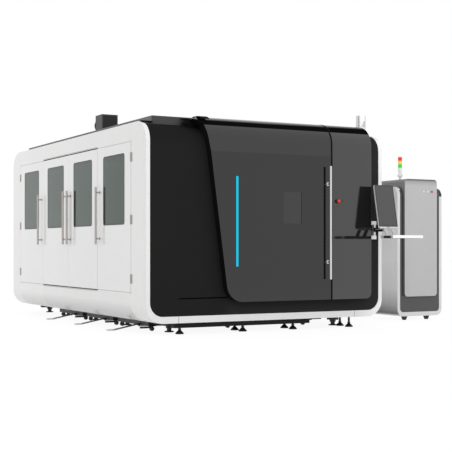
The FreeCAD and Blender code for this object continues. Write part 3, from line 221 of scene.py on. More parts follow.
def noise(tree, place, scale, detail=2.0):
    """A cloudy pattern over a place."""
    pattern = tree.nodes.new("ShaderNodeTexNoise")
    pattern.inputs["Scale"].default_value = scale
    pattern.inputs["Detail"].default_value = detail
    tree.links.new(place, pattern.inputs["Vector"])
    return pattern.outputs["Fac"]


def carried(tree, value, low, high, start=0.0, end=1.0):
    """Carries a value that runs from start to end over to low to high, and stops there."""
    run = tree.nodes.new("ShaderNodeMapRange")
    for socket, number in zip(("From Min", "From Max", "To Min", "To Max"),
                              (start, end, low, high)):
        run.inputs[socket].default_value = number
    tree.links.new(value, run.inputs["Value"])
    return run.outputs["Result"]


def ramped(tree, value, *stops):
    """A colour blended along a value between (position, colour) stops."""
    ramp = tree.nodes.new("ShaderNodeValToRGB")
    points = ramp.color_ramp.elements
    for index, (position, colour) in enumerate(stops):
        stop = points[index] if index < 2 else points.new(position)
        stop.position = position
        stop.color = (*colour, 1)
    tree.links.new(value, ramp.inputs["Fac"])
    return ramp.outputs["Color"]


def varied(tree, pattern, colour, tones, roughness, glosses, ends=(0.0, 1.0)):
    """Lets a pattern vary the shader's colour and roughness between two shares of each."""
    shader = tree.nodes["Principled BSDF"]
    shades = [[min(c * share, 1.0) for c in colour] for share in tones]
    tree.links.new(ramped(tree, pattern, *zip(ends, shades)), shader.inputs["Base Color"])
    low, high = [min(roughness * share, 1.0) for share in glosses]
    tree.links.new(carried(tree, pattern, low, high), shader.inputs["Roughness"])


def bumped(tree, height, strength, distance):
    """Raises the surface by a pattern."""
    bump = tree.nodes.new("ShaderNodeBump")
    bump.inputs["Strength"].default_value = strength
    bump.inputs["Distance"].default_value = distance
    tree.links.new(height, bump.inputs["Height"])
    tree.links.new(bump.outputs["Normal"], tree.nodes["Principled BSDF"].inputs["Normal"])


def sprayed(name, colour, roughness, shift=0.05, peel=0.02, ior=1.5, level=0.5, cloud=1.6):
    """Sprayed paint whose tone and gloss drift a little over the sheet, with a fine orange peel."""
    material, shader, tree = bare_material(name)
    drift = noise(tree, own_place(tree), cloud, 3.0)
    varied(tree, drift, colour, (1 - shift, 1 + shift), roughness, (0.85, 1.2), (0.3, 0.7))
    bumped(tree, noise(tree, own_place(tree), 260.0), peel, 0.001)
    shader.inputs["IOR"].default_value = ior
    shader.inputs["Specular IOR Level"].default_value = level
    return material


def coat(piece, material):
    """Gives a piece one finish."""
    piece.data.materials.clear()
    piece.data.materials.append(material)


charcoal = sprayed("satin charcoal paint", (0.0125, 0.0125, 0.013), 0.5, shift=0.3, level=0.2,
                   cloud=5.0)
cast_black = sprayed("black cast iron", (0.012, 0.012, 0.012), 0.5, shift=0.2, peel=0.25)
coat(finished("base_tubes", "base_frame"), charcoal)
coat(finished("feet_cast", "levelling_feet", edge=0.0015), cast_black)


def gathered(parts):
    """The form of several like parts made one."""
    form = bmesh.new()
    for part in parts:
        form.from_mesh(part.data)
        bpy.data.objects.remove(part)
    return form


def fitted(name, form, material, body):
    """A new piece of a form, coated and fixed to a body."""
    piece = new_piece(name, form)
    coat(piece, material)
    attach(piece, body)
    return piece


def nut(place, across, height):
    """A hexagon nut with eased corners, lying flat on a place."""
    form = bmesh.new()
    bmesh.ops.create_cone(form, cap_ends=True, segments=6, radius1=across / 2, radius2=across / 2,
                          depth=height)
    bmesh.ops.bevel(form, geom=form.edges[:], affect="EDGES", offset=0.0012, segments=2,
                    profile=0.5, material=-1)
    bmesh.ops.translate(form, vec=place + Vector((0, 0, height / 2)), verts=form.verts)
    return new_piece("nut", form)


cabin_feet = [(x, y) for x in (1215, 1851, 2603) for y in (170, 350, 4480)] + [(459, 170)]
bed_feet = [(x, y) for x in (470, 2570) for y in (450, 1595, 2605, 3615, 4390)]
nuts = [nut(at(x, y, 45), 0.036, 0.012) for x, y in cabin_feet]
nuts += [nut(at(x, y, 42), 0.072, 0.022) for x, y in bed_feet]
fitted("foot_lock_nuts", gathered(nuts), cast_black, "machine")


# ---- Bed, slats and rails
# A stress-relieved welded bed, sprayed grey, carries ground steel rails and racks. The loose
# slats are laser-cut mild steel, browned and spattered along their teeth.
def repaint(piece, material, test):
    """Gives another finish to the faces whose middle and direction pass a test."""
    piece.data.materials.append(material)
    index = len(piece.data.materials) - 1
    for face in piece.data.polygons:
        if test(face.center, face.normal):
            face.material_index = index


def dress(node, material):
    """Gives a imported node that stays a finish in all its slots."""
    part = frame["nodes"][node]
    if not part.data.materials:
        part.data.materials.append(material)
    for index in range(len(part.data.materials)):
        part.data.materials[index] = material


def ground_steel(name, colour, roughness, stretch, fine=320.0):
    """Bright steel whose scratches run along one direction."""
    material, shader, tree = bare_material(name)
    shader.inputs["Metallic"].default_value = 1.0
    draw = tree.nodes.new("ShaderNodeMapping")
    draw.inputs["Scale"].default_value = stretch
    tree.links.new(own_place(tree), draw.inputs["Vector"])
    lines = noise(tree, draw.outputs["Vector"], fine, 3.0)
    varied(tree, lines, colour, (0.88, 1.1), roughness, (0.7, 1.3))
    bumped(tree, lines, 0.08, 0.0005)
    return material


def own_axis(tree, axis):
    """The place on the piece itself along one axis, in metres."""
    split = tree.nodes.new("ShaderNodeSeparateXYZ")
    tree.links.new(own_place(tree), split.inputs["Vector"])
    return split.outputs[axis]


bed_leg_top = 0.3
tooth_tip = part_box("slats")[1][2]
tooth_root = tooth_tip - 0.06

bed_grey = sprayed("bed paint", (0.11, 0.11, 0.115), 0.5, shift=0.1)
rail_steel = ground_steel("ground rail steel", (0.52, 0.52, 0.53), 0.25, (1, 0.03, 1))
slat_steel, shader, tree = bare_material("cut mild steel")
shader.inputs["Metallic"].default_value = 0.75
burn = carried(tree, own_axis(tree, "Z"), 0.0, 1.0, tooth_root, tooth_tip)
spatter = noise(tree, own_place(tree), 45.0, 5.0)
browned = ramped(tree, worked(tree, "MULTIPLY", burn, spatter),
                 (0, (0.22, 0.215, 0.21)), (1, (0.06, 0.045, 0.035)))
tree.links.new(browned, shader.inputs["Base Color"])
tree.links.new(spatter, shader.inputs["Roughness"])
bed = finished("bed_weldment", "bed_frame", edge=0.003)
coat(bed, bed_grey)
repaint(bed, charcoal, lambda c, n: c.z < bed_leg_top)
coat(finished("slat_tray", "slat_frame", edge=0.003), bed_grey)
dress("slats", slat_steel)
coat(finished("rails_and_racks", "guide_rails"), rail_steel)


# ---- Gantry, head carriage and cutting head
# An extruded aluminium beam on machined end carriages, a plate that carries the head, and an
# anodised cutting head with a brass nozzle. They are bolted up, and run on the rails.
def mottled_metal(name, colour, roughness):
    """Plated or drawn metal with a faint mottled sheen."""
    material, shader, tree = bare_material(name)
    shader.inputs["Metallic"].default_value = 1.0
    mottle = noise(tree, own_place(tree), 60.0, 4.0)
    varied(tree, mottle, colour, (0.82, 1.15), roughness, (0.8, 1.3))
    return material


nozzle_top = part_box("cutting_head")[0][2] + 0.028

beam_metal = ground_steel("satin aluminium", (0.56, 0.57, 0.58), 0.36, (0.04, 1, 1))
head_black = sprayed("black anodising", (0.02, 0.02, 0.022), 0.32, shift=0.1, peel=0.01)
brass = mottled_metal("brass", (0.62, 0.45, 0.2), 0.25)
coat(finished("beam_and_carriages", "gantry_beam", edge=0.003), beam_metal)
coat(finished("head_plate", "head_carriage", edge=0.002), beam_metal)
head = finished("laser_head", "cutting_head")
coat(head, head_black)
repaint(head, brass, lambda c, n: c.z < nozzle_top)


# ---- Slag carts and tow bars
# Shallow trays of folded, spot-welded sheet on small black wheels, with a brake pedal, a plated
# channel, and in it a flat tow bar that turns on a plain pin and ends in a white grip pad.
def extent(node):
    """A node's ends along x, y and z, in millimetres from the cabin's front left corner."""
    low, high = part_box(node)
    return [((a - c) * 1000, (b - c) * 1000) for a, b, c in zip(low, high, corner_place)]


def slab(form, x, y, z):
    """Adds an eased block to a form, between two places in millimetres along each axis."""
    block = bmesh.ops.create_cube(form, size=1.0)["verts"]
    bmesh.ops.scale(form, vec=[(b - a) / 1000 for a, b in (x, y, z)], verts=block)
    edges = list({line for v in block for line in v.link_edges})
    least = min(b - a for a, b in (x, y, z)) / 1000
    bmesh.ops.translate(form, vec=at(*[(a + b) / 2 for a, b in (x, y, z)]), verts=block)
    bmesh.ops.bevel(form, geom=edges, affect="EDGES", offset=min(0.2 * least, 0.003), segments=2,
                    profile=0.5, material=-1)


def slabs(*sizes):
    """A form of eased blocks, each given as three pairs of places."""
    form = bmesh.new()
    for x, y, z in sizes:
        slab(form, x, y, z)
    return form


def turned(name, profile, start, along, steps=28, sharp=35.0):
    """A round piece spun from (radius, height) points, standing at start and pointing along."""
    form = bmesh.new()
    points = [form.verts.new((radius, 0, height)) for radius, height in profile]
    for a, b in zip(points, points[1:]):
        form.edges.new((a, b))
    bmesh.ops.spin(form, geom=form.verts[:] + form.edges[:], cent=(0, 0, 0), axis=(0, 0, 1),
                   angle=math.tau, steps=steps, use_merge=True)
    bmesh.ops.remove_doubles(form, verts=form.verts, dist=0.00001)
    bmesh.ops.recalc_face_normals(form, faces=form.faces)
    for face in form.faces:
        face.smooth = True
    for line in form.edges:
        line.smooth = line.calc_face_angle(0) < math.radians(sharp)
    turn = Vector((0, 0, 1)).rotation_difference(Vector(along)).to_matrix().to_4x4()
    bmesh.ops.transform(form, matrix=Matrix.Translation(start) @ turn, verts=form.verts)
    return new_piece(name, form)


wheel_places = (367, 1300, 2298)
axle_height, wheel_top = 25, 0.0535
pad_length = 77
pedal_half, channel_half, channel_wall = 35, 26, 2

cart_black = sprayed("cart paint", (0.011, 0.011, 0.011), 0.48, shift=0.15)
wheel_black = sprayed("black polyamide", (0.008, 0.008, 0.008), 0.4, shift=0.1, peel=0.05)
bar_grey = sprayed("grey bar paint", (0.2, 0.2, 0.2), 0.35, shift=0.05)
pad_white = sprayed("white grip", (0.8, 0.8, 0.79), 0.4, peel=0.05)
zinc = mottled_metal("zinc plate", (0.42, 0.42, 0.41), 0.34)
for number in (1, 2, 3):
    cart_body = "cart_" + str(number)
    front, back = extent("slag_cart_" + str(number))[1]
    bar_x, bar_y, _ = extent("tow_bar_" + str(number))
    pad_end = at(bar_x[0] + pad_length, 0, 0).x
    cart = finished("cart_tray_" + str(number), "slag_cart_" + str(number))
    coat(cart, cart_black)
    repaint(cart, wheel_black, lambda c, n: c.z < wheel_top)
    bar = finished("tow_flat_" + str(number), "tow_bar_" + str(number))
    coat(bar, bar_grey)
    repaint(bar, pad_white, lambda c, n: c.x < pad_end)
    caps = [turned("cap", [(0, 0.0022), (0.006, 0.002), (0.009, 0), (0.009, -0.001)],
                   at(x, y, axle_height), (0, side, 0), steps=16)
            for x in wheel_places for y, side in ((front, -1), (back, 1))]
    fitted("cart_wheel_caps_" + str(number), gathered(caps), wheel_black, cart_body)
    foot_width = (front - pedal_half, front + pedal_half)
    pedal = slabs(((222, 346), (front - 12, front + 12), (32, 51)),
                  ((340, 396), foot_width, (52, 57)), ((340, 346), foot_width, (30, 54)))
    fitted("cart_brake_pedal_" + str(number), pedal, wheel_black, cart_body)
    sides = [sum(bar_y) / 2 + side * channel_half for side in (-1, 1)]
    channel = slabs(*[((322, 412), (y - channel_wall, y + channel_wall), (38, 56.8))
                      for y in sides], ((322, 412), sides, (36, 39.5)))
    fitted("tow_channel_" + str(number), channel, zinc, cart_body)


# ---- White cabin panels
# Folded steel sheet, powder-coated white, with rolled corners: the front ring, the corner
# posts, the header, the skirts, and the right and rear walls. They are bolted to the frame.
def white_coat(name, colour, roughness, seams=(), ior=1.5):
    """White powder coat. Butt joints show as thin grey lines at the places in seams."""
    material = sprayed(name, colour, roughness, shift=0.012, peel=0.015, ior=ior)
    tree = material.node_tree
    paint = tree.nodes["Principled BSDF"].inputs["Base Color"]
    for middle in seams:
        joint = tree.nodes.new("ShaderNodeMix")
        joint.data_type = "RGBA"
        joint.inputs["B"].default_value = (0.19, 0.19, 0.19, 1)
        near = worked(tree, "COMPARE", own_axis(tree, "X"), middle, seam_width / 2)
        tree.links.new(near, joint.inputs["Factor"])
        tree.links.new(paint.links[0].from_socket, joint.inputs["A"])
        tree.links.new(joint.outputs["Result"], paint)
    return material


def toned(material, axis, *stops):
    """Tones a finish along an axis, by the share at each (place in metres, share) stop."""
    tree = material.node_tree
    paint = tree.nodes["Principled BSDF"].inputs["Base Color"]
    first, last = stops[0][0], stops[-1][0]
    run = carried(tree, own_axis(tree, axis), 0.0, 1.0, first, last)
    shares = [((place - first) / (last - first), (share, share, share)) for place, share in stops]
    mixed = tree.nodes.new("ShaderNodeVectorMath")
    mixed.operation = "MULTIPLY"
    tree.links.new(paint.links[0].from_socket, mixed.inputs[0])
    tree.links.new(ramped(tree, run, *shares), mixed.inputs[1])
    tree.links.new(mixed.outputs["Vector"], paint)
    return material


seam_width = 0.005
ring_seams = [at(x, 0, 0).x for x in (368, 2560)]
far_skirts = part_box("door_tracks")[1][1]
skirt_foot, skirt_fold, skirt_mid, skirt_top = 0.12, 0.136, 0.2, 0.33
inner_top = 2.1

# The ring's coat is painted lighter over its right band, from x 2600 to 2860 mm: painted light
# where the cover's flank shades it.
ring_white_painted_light = toned(white_coat("white ring coat with painted light", (0.9, 0.9, 0.895), 0.34, ring_seams), "X",
                   (at(2600, 0, 0).x, 0.878), (at(2860, 0, 0).x, 1.0))
panel_white = white_coat("white panel coat", (0.79, 0.79, 0.785), 0.22, ior=1.7)
# Both skirt coats darken towards the floor as painted shade. The near skirts also go almost black
# over their lowest 16 mm, as a painted shadow of the base frame.
far_skirt_white_painted_shade = toned(white_coat("far skirt coat with painted shade", (0.8, 0.8, 0.795), 0.22, ior=1.7), "Z",
                        (skirt_foot, 0.64), (skirt_mid, 0.82), (skirt_top, 1.0))
skirt_white_painted_shade = toned(white_coat("white skirt coat with painted shade", (0.78, 0.78, 0.775), 0.22, ior=1.7), "Z",
                    (skirt_foot, 0.02), (skirt_fold, 0.02), (skirt_fold + 0.0005, 0.55),
                    (skirt_mid, 0.78), (skirt_top, 1.0))
coat(finished("front_ring_sheet", "front_ring"), ring_white_painted_light)
front_post = finished("front_post_sheet", "left_front_post")
coat(front_post, panel_white)
coat(finished("rear_post_sheet", "left_rear_post"), panel_white)
coat(finished("header_sheet", "left_header"), panel_white)
skirts = finished("skirt_sheets", "left_skirts")
coat(skirts, skirt_white_painted_shade)
repaint(skirts, far_skirt_white_painted_shade, lambda c, n: c.y > far_skirts)
right_side = finished("right_side_sheet", "right_wall")
coat(right_side, panel_white)
dress("rear_wall", panel_white)
for sheet in (front_post, right_side):
    repaint(sheet, cast_black, lambda c, n: n.y < -0.9 and c.z > inner_top)

# A folded upstand runs along the left roof edge, and rises out of the rolled corners at its ends.
cabin_length = extent("rear_wall")[1][1]
corner_y = extent("front_ring")[1][1]
corner_z = extent("front_ring")[2][1] - corner_y
corner_radius = corner_y + 0.5
rise, corner_steps, corner_sweep = 6, 14, 75
upstand_y, upstand_z = 214, 2209

outline = []
for step in range(corner_steps + 1):
    turn = step / corner_steps
    angle = math.radians(corner_sweep * (1 - turn))
    radius = corner_radius + rise * math.sin(math.pi / 2 * turn) ** 2
    outline.append((corner_y - radius * math.sin(angle), corner_z + radius * math.cos(angle)))
outline.append((upstand_y, upstand_z))
outline += [(cabin_length - y, z) for y, z in reversed(outline)]


def drawn_out(form, lines, way):
    """Draws lines of a form out along a way, as a band of faces."""
    side = bmesh.ops.extrude_edge_only(form, edges=lines)
    moved = [v for v in side["geom"] if isinstance(v, bmesh.types.BMVert)]
    bmesh.ops.translate(form, verts=moved, vec=way)


def thickened(form, faces, way):
    """Gives faces of a form a depth along a way, as one closed block."""
    wall = bmesh.ops.extrude_face_region(form, geom=faces)
    moved = [v for v in wall["geom"] if isinstance(v, bmesh.types.BMVert)]
    bmesh.ops.translate(form, verts=moved, vec=way)


def strung(form, places):
    """Joins places with a line of edges, and gives back its points."""
    points = [form.verts.new(place) for place in places]
    for a, b in zip(points, points[1:]):
        form.edges.new((a, b))
    return points


form = bmesh.new()
strung(form, [at(0.6, y, z) for y, z in outline])
drawn_out(form, form.edges[:], (0, 0, -0.05))
thickened(form, form.faces[:], (0.024, 0, 0))
bmesh.ops.recalc_face_normals(form, faces=form.faces)
for face in form.faces:
    face.smooth = True
upstand = fitted("left_roof_upstand", form, panel_white, "machine")
ease = upstand.modifiers.new("eased edges", "BEVEL")
ease.width = 0.007
ease.segments = 3
ease.limit_method = "ANGLE"
ease.angle_limit = math.radians(40)


# ---- Door tracks and jamb hinges
# Rolled steel tracks, dark, above and below the folding doors, with pale seals and brushes, and
# plated butt hinges whose plates are screwed to the jambs with three countersunk screws each.
first_joint, last_joint = extent("door_tracks")[1]
leaf_width = (last_joint - first_joint) / 2
front_jamb, rear_jamb = first_joint - leaf_width, last_joint + leaf_width
track_low, track_high = extent("door_tracks")[2]
leaf_low, leaf_high = extent("door_leaf_1")[2]
inner_low, inner_high = extent("door_leaf_2")[2]
skirt_high = extent("left_skirts")[2][1]
header_low = extent("left_header")[2][0]
hinge_heights = (578, 1197, 1851)
track_heights = (2030, 422)
plate_offset, screw_pitch = 24, 32

track_grey = sprayed("track paint", (0.05, 0.05, 0.052), 0.4)
hinge_steel = ground_steel("hinge steel", (0.36, 0.34, 0.33), 0.3, (1, 1, 0.05))
coat(finished("track_rails", "door_tracks", edge=0.0004), track_grey)
coat(finished("hinge_plates", "jamb_hinges", edge=0.0005), hinge_steel)
screws = [turned("screw", [(0, 0.0006), (0.0022, 0.0012), (0.0038, 0.0008), (0.0045, -0.0004)],
                 at(-3, jamb, height + step), (-1, 0, 0), steps=14)
          for jamb in (front_jamb - plate_offset, rear_jamb + plate_offset)
          for height in hinge_heights for step in (-screw_pitch, 0, screw_pitch)]
fitted("hinge_screws", gathered(screws), zinc, "machine")
pivots = [turned("pivot", [(0, 0.0016), (0.005, 0.0014), (0.0065, 0), (0.0065, -0.002)],
                 at(0, jamb, height), (-1, 0, 0), steps=18)
          for jamb in (front_jamb, rear_jamb) for height in track_heights]
fitted("jamb_pivot_caps", gathered(pivots), zinc, "machine")
seal_grey = sprayed("pale door seal", (0.62, 0.62, 0.61), 0.6, shift=0.03, peel=0.1)
seals = slabs(*[((1.6, 20), y, z)
                for y in ((front_jamb + 13, first_joint - 9), (last_joint + 9, rear_jamb - 13))
                for z in ((leaf_high + 1, header_low - 0.2), (skirt_high + 0.2, leaf_low - 1))])
fitted("door_frame_seals", seals, seal_grey, "machine")
brushes = slabs(*[((0.8, 3), (first_joint + 2, last_joint - 2), z)
                  for z in ((inner_high + 1.5, track_high + 0.5),
                            (track_low - 0.5, inner_low - 1.5))])
fitted("track_brushes", brushes, seal_grey, "machine")


# ---- Folding doors
# Four leaves of folded sheet in gloss white, with green laser-safe panes bonded into rebates
# with black sealant, and tubular stainless grips on round roses.
def border(width, height, corner, bead, thick):
    """A flat rounded frame lying in X and Z round the origin, bead wide and thick deep."""
    form = bmesh.new()
    corners = [form.verts.new((x * width / 2, 0, z * height / 2))
               for x, z in ((-1, -1), (1, -1), (1, 1), (-1, 1))]
    form.faces.new(corners)
    bmesh.ops.bevel(form, geom=form.verts[:], affect="VERTICES", offset=corner, segments=8,
                    profile=0.5, material=-1)
    form.normal_update()
    bmesh.ops.inset_region(form, faces=form.faces[:], thickness=bead, use_boundary=True,
                           use_even_offset=True)
    inner = max(form.faces, key=lambda face: face.calc_area())
    bmesh.ops.delete(form, geom=[inner], context="FACES_ONLY")
    thickened(form, form.faces[:], (0, -thick, 0))
    bmesh.ops.recalc_face_normals(form, faces=form.faces)
    return form


pin_low, pin_high = (leaf_low - 0.2) / 1000, (leaf_high + 0.2) / 1000
grip_low, grip_high = 0.95, 1.58
hinge_half, barrel = 0.05, 0.0102
bead_width, bead_overlap = 0.004, 0.2
edge_gap, seal_half = 1.05, 0.9

leaf_white = white_coat("gloss white door coat", (0.79, 0.79, 0.79), 0.05, ior=1.85)
grip_steel = ground_steel("satin stainless", (0.47, 0.43, 0.41), 0.24, (1, 1, 0.02), fine=420.0)
sealant = sprayed("black sealant", (0.014, 0.015, 0.014), 0.45, peel=0.2)
pane_glass, shader, tree = bare_material("green safety glass")
shader.inputs["Transmission Weight"].default_value = 1.0
shader.inputs["IOR"].default_value = 1.5
haze = noise(tree, own_place(tree), 3.0, 4.0)
tree.links.new(ramped(tree, haze, (0, (0.085, 0.18, 0.13)), (1, (0.12, 0.24, 0.18))),
               shader.inputs["Base Color"])
tree.links.new(carried(tree, haze, 0.0, 0.03), shader.inputs["Roughness"])
# The panes' specular tint rises from the front leaves to the rear ones: a painted reflection,
# brighter further back along the cabin.
along = carried(tree, own_axis(tree, "Y"), 0.0, 1.0, at(0, 800, 0).y, at(0, 2900, 0).y)
tree.links.new(ramped(tree, along, (0, (0.6, 0.77, 0.66)), (1, (0.865, 1.0, 0.93))),
               shader.inputs["Specular Tint"])
for number in (1, 2, 3, 4):
    leaf_body = "leaf_" + str(number)
    start = front_jamb + leaf_width * (number - 1)
    end = start + leaf_width
    hinge_line = at(0, start if number < 3 else end, 0).y
    leaf = finished("leaf_sheet_" + str(number), "door_leaf_" + str(number), edge=0.0006)
    coat(leaf, leaf_white)
    repaint(leaf, grip_steel, lambda c, n: c.x < at(-0.5, 0, 0).x and grip_low < c.z < grip_high)
    repaint(leaf, hinge_steel, lambda c, n: abs(c.y - hinge_line) < barrel
            and any(abs(c.z - height / 1000) < hinge_half for height in hinge_heights))
    repaint(leaf, zinc, lambda c, n: c.z < pin_low or c.z > pin_high)
    pane = finished("pane_" + str(number), "door_window_" + str(number), edge=0.0006)
    coat(pane, pane_glass)
    pane_x, pane_y, pane_z = extent("door_window_" + str(number))
    bead = border(*[(high - low + 2 * bead_overlap) / 1000 for low, high in (pane_y, pane_z)],
                  0.035, bead_width, 0.0012)
    bmesh.ops.rotate(bead, verts=bead.verts, cent=(0, 0, 0),
                     matrix=Matrix.Rotation(math.radians(-90), 3, "Z"))
    bmesh.ops.translate(bead, verts=bead.verts,
                        vec=at(pane_x[0] + 0.2, sum(pane_y) / 2, sum(pane_z) / 2))
    fitted("pane_bead_" + str(number), bead, sealant, leaf_body)
    edges = [edge for edge in (start + edge_gap, end - edge_gap)
             if front_jamb + leaf_width / 2 < edge < rear_jamb - leaf_width / 2]
    strips = slabs(*[((1.0, 8.0), (edge - seal_half, edge + seal_half),
                      (leaf_low + 1, leaf_high - 1)) for edge in edges])
    fitted("leaf_edge_seal_" + str(number), strips, seal_grey, leaf_body)


# ---- Black front panel
# Matt black sheets behind the sliding door, butted round the access opening and the guide
# slot, rolled back over the brow and folded up behind it. They are screwed to the ring.
matt_black_painted_shading = sprayed("matt black coat with painted shading", (0.0135, 0.0135, 0.0135), 0.75, shift=0.06, peel=0.12,
                     level=0.08)
# The fascia is painted lighter right of x 1000 mm, as painted light that lifts the door's shade on
# it. It is painted darker towards the top from z 1.95 m, as painted shade where it rolls back over
# the brow.
toned(matt_black_painted_shading, "X", (at(880, 0, 0).x, 1.0), (at(1000, 0, 0).x, 1.6), (at(2800, 0, 0).x, 1.75))
toned(matt_black_painted_shading, "Z", (1.95, 1.0), (2.1, 0.75), (2.17, 0.42))
coat(finished("front_sheets", "front_fascia", edge=0.0), matt_black_painted_shading)
fold_back = (corner_y + 0.5, corner_y + 12)
fitted("front_roof_upstand", slabs(((30, 2900), fold_back, (2190, 2218))), matt_black_painted_shading,
       "machine")


# ---- Roof, fan box and vent
# A raised grey roof of folded sheet with a grey box that turns the extracted air to the rear
# through a flanged outlet, and a slim white vent tower with cut louvres at the right.
roof_grey = sprayed("roof paint", (0.088, 0.088, 0.09), 0.4, shift=0.05)
roof_grey_painted_shade = sprayed("roof grey in painted shade", (0.04, 0.04, 0.041), 0.45, shift=0.05)
fan_grey = sprayed("fan box paint", (0.032, 0.032, 0.033), 0.42, shift=0.06)
grille_black = sprayed("grille black", (0.012, 0.0125, 0.0125), 0.5, shift=0.15)
vent_white = white_coat("vent coat", (0.97, 0.97, 0.97), 0.35)
edge_shade_grey = sprayed("vent edge painted shade", (0.3, 0.3, 0.3), 0.5, shift=0.05)
louvre_painted_shade = sprayed("louvre shade", (0.5, 0.5, 0.5), 0.5, shift=0.05)
vent_x, vent_y, vent_z = extent("roof_vent")
louvre_front, louvre_back = at(0, vent_y[0] + 1, 0).y, at(0, vent_y[0] + 7, 0).y
seam_z = (vent_z[1] - 156, vent_z[1] - 1)
fan_x, fan_y, fan_z = extent("roof_fan_box")
slat_count, slat_pitch, slat_height = 18, 9, 3
slat_low = fan_z[0] + 19

roof_sheet = finished("roof_sheet", "roof")
coat(roof_sheet, roof_grey)
# The roof's front-facing faces take a darker copy of its paint: painted shade.
repaint(roof_sheet, roof_grey_painted_shade, lambda c, n: n.y < -0.7)
fan = finished("fan_housing", "roof_fan_box")
coat(fan, fan_grey)
# The fan box's front and right faces take that shaded roof grey, a tone painted by the way the
# faces look.
repaint(fan, roof_grey_painted_shade, lambda c, n: n.y < -0.7 or n.x > 0.7)
vent = finished("vent_tower", "roof_vent", edge=0.0008)
coat(vent, vent_white)
# The insides of the cut louvres are painted grey, as painted shade in the slots.
repaint(vent, louvre_painted_shade, lambda c, n: louvre_front < c.y < louvre_back and c.z > 2.2)
# Grey strips along the tower's left and front edges are painted shade where its faces meet.
vent_edge_shade = slabs(
    ((vent_x[0] - 0.8, vent_x[0] + 1), (vent_y[0] + 15, vent_y[0] + 28), seam_z),
    ((vent_x[1] - 6, vent_x[1] + 0.3), (vent_y[0] - 0.6, vent_y[0] + 1), seam_z))
fitted("vent_edge_shade", vent_edge_shade, edge_shade_grey, "machine")
slat_places = [slat_low + slat_pitch * step for step in range(slat_count)]
grille = slabs(((fan_x[0] + 14, fan_x[1] - 14), (fan_y[0] - 0.8, fan_y[0] + 1),
                (fan_z[0] + 14, fan_z[1] - 12)),
               *[((fan_x[0] + 16, fan_x[1] - 16), (fan_y[0] - 3.5, fan_y[0]),
                  (z, z + slat_height)) for z in slat_places])
fitted("fan_grille", grille, grille_black, "machine")
outlet = turned("outlet_flange", [
    (0.0556, 0), (0.058, 0), (0.058, 0.042), (0.087, 0.042), (0.087, 0.05), (0.0556, 0.05),
    (0.0556, 0)], at(sum(fan_x) / 2, fan_y[1] - 23, fan_z[1] - 107.8), (0, 1, 0), steps=48)
coat(outlet, fan_grey)
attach(outlet, "machine")


# ---- Sliding front door
# A deep grey gloss skin that wraps over the top, on a black flange and cap, with a dark pane,
# a cyan light strip and a long bright grip. It hangs on rollers that run in a rail.
def gloss_grey(name, low, high, ior, roughness, upper=0.0):
    """Deep gloss grey with painted light: a little lighter towards the right, and above the crease
    by upper, in place of the reflections there.
    """
    material, shader, tree = bare_material(name)
    run = carried(tree, own_axis(tree, "X"), low, high, at(700, 0, 0).x, at(2700, 0, 0).x)
    above = worked(tree, "GREATER_THAN", own_axis(tree, "Z"), crease_height / 1000)
    lift = worked(tree, "MULTIPLY_ADD", above, upper, run)
    spark = carried(tree, noise(tree, own_place(tree), 900.0), 0.9, 1.1)
    shade = worked(tree, "MULTIPLY", lift, spark)
    tint = tree.nodes.new("ShaderNodeCombineColor")
    for channel in ("Red", "Green", "Blue"):
        tree.links.new(shade, tint.inputs[channel])
    tree.links.new(tint.outputs["Color"], shader.inputs["Base Color"])
    drift = noise(tree, own_place(tree), 2.0)
    tree.links.new(carried(tree, drift, roughness * 0.8, roughness * 1.2),
                   shader.inputs["Roughness"])
    shader.inputs["IOR"].default_value = ior
    return material


def brow_black(name, colour):
    """Deep black that swallows light from the front, with a painted highlight: a sheen mixed in by
    a facing ramp where it turns away, narrowing towards the right.
    """
    material = sprayed(name, colour, 0.5, shift=0.1, level=0.0)
    tree = material.node_tree
    turning = tree.nodes.new("ShaderNodeLayerWeight")
    turning.inputs["Blend"].default_value = 0.5
    rim_fade_right = carried(tree, own_axis(tree, "X"), 0.0, 0.1, at(1400, 0, 0).x, at(2700, 0, 0).x)
    turned_away = worked(tree, "SUBTRACT", turning.outputs["Facing"], rim_fade_right)
    painted_rim_highlight = ramped(tree, turned_away, (0.575, (0, 0, 0)), (0.72, (0.3, 0.3, 0.3)), (1.0, (1, 1, 1)))
    sheen = tree.nodes.new("ShaderNodeBsdfAnisotropic")
    sheen.inputs["Roughness"].default_value = 0.2
    both = tree.nodes.new("ShaderNodeMixShader")
    tree.links.new(painted_rim_highlight, both.inputs["Fac"])
    tree.links.new(tree.nodes["Principled BSDF"].outputs[0], both.inputs[1])
    tree.links.new(sheen.outputs[0], both.inputs[2])
    tree.links.new(both.outputs[0], tree.nodes["Material Output"].inputs["Surface"])
    return material


crease_height = 1907
rebate = 14

# The door's skin grey is painted lighter towards the right and above the crease: painted light.
door_grey = gloss_grey("deep gloss grey", 0.0008, 0.0012, 1.61, 0.05, upper=0.0095)
cap_black = brow_black("deep black cap", (0.0045, 0.0045, 0.0045))
flank_black = sprayed("black flange", (0.0065, 0.0065, 0.0065), 0.6, shift=0.1, level=0.02)
dark_pane = sprayed("smoked pane", (0.016, 0.018, 0.016), 0.03, shift=0.2, peel=0.0, ior=1.58)
bright_steel = ground_steel("bright stainless", (0.66, 0.66, 0.66), 0.16, (1, 1, 0.02))
cyan_glow, shader, tree = bare_material("cyan light strip")
shader.inputs["Base Color"].default_value = (0.0, 0.02, 0.03, 1)
shader.inputs["Specular IOR Level"].default_value = 0.0
cells = tree.nodes.new("ShaderNodeTexWave")
cells.bands_direction = "Z"
cells.inputs["Scale"].default_value = 12.0
tree.links.new(own_place(tree), cells.inputs["Vector"])
glowing = ramped(tree, cells.outputs["Fac"], (0, (0.001, 0.61, 0.87)), (1, (0.002, 0.66, 0.92)))
tree.links.new(glowing, shader.inputs["Emission Color"])
shader.inputs["Emission Strength"].default_value = 1.0

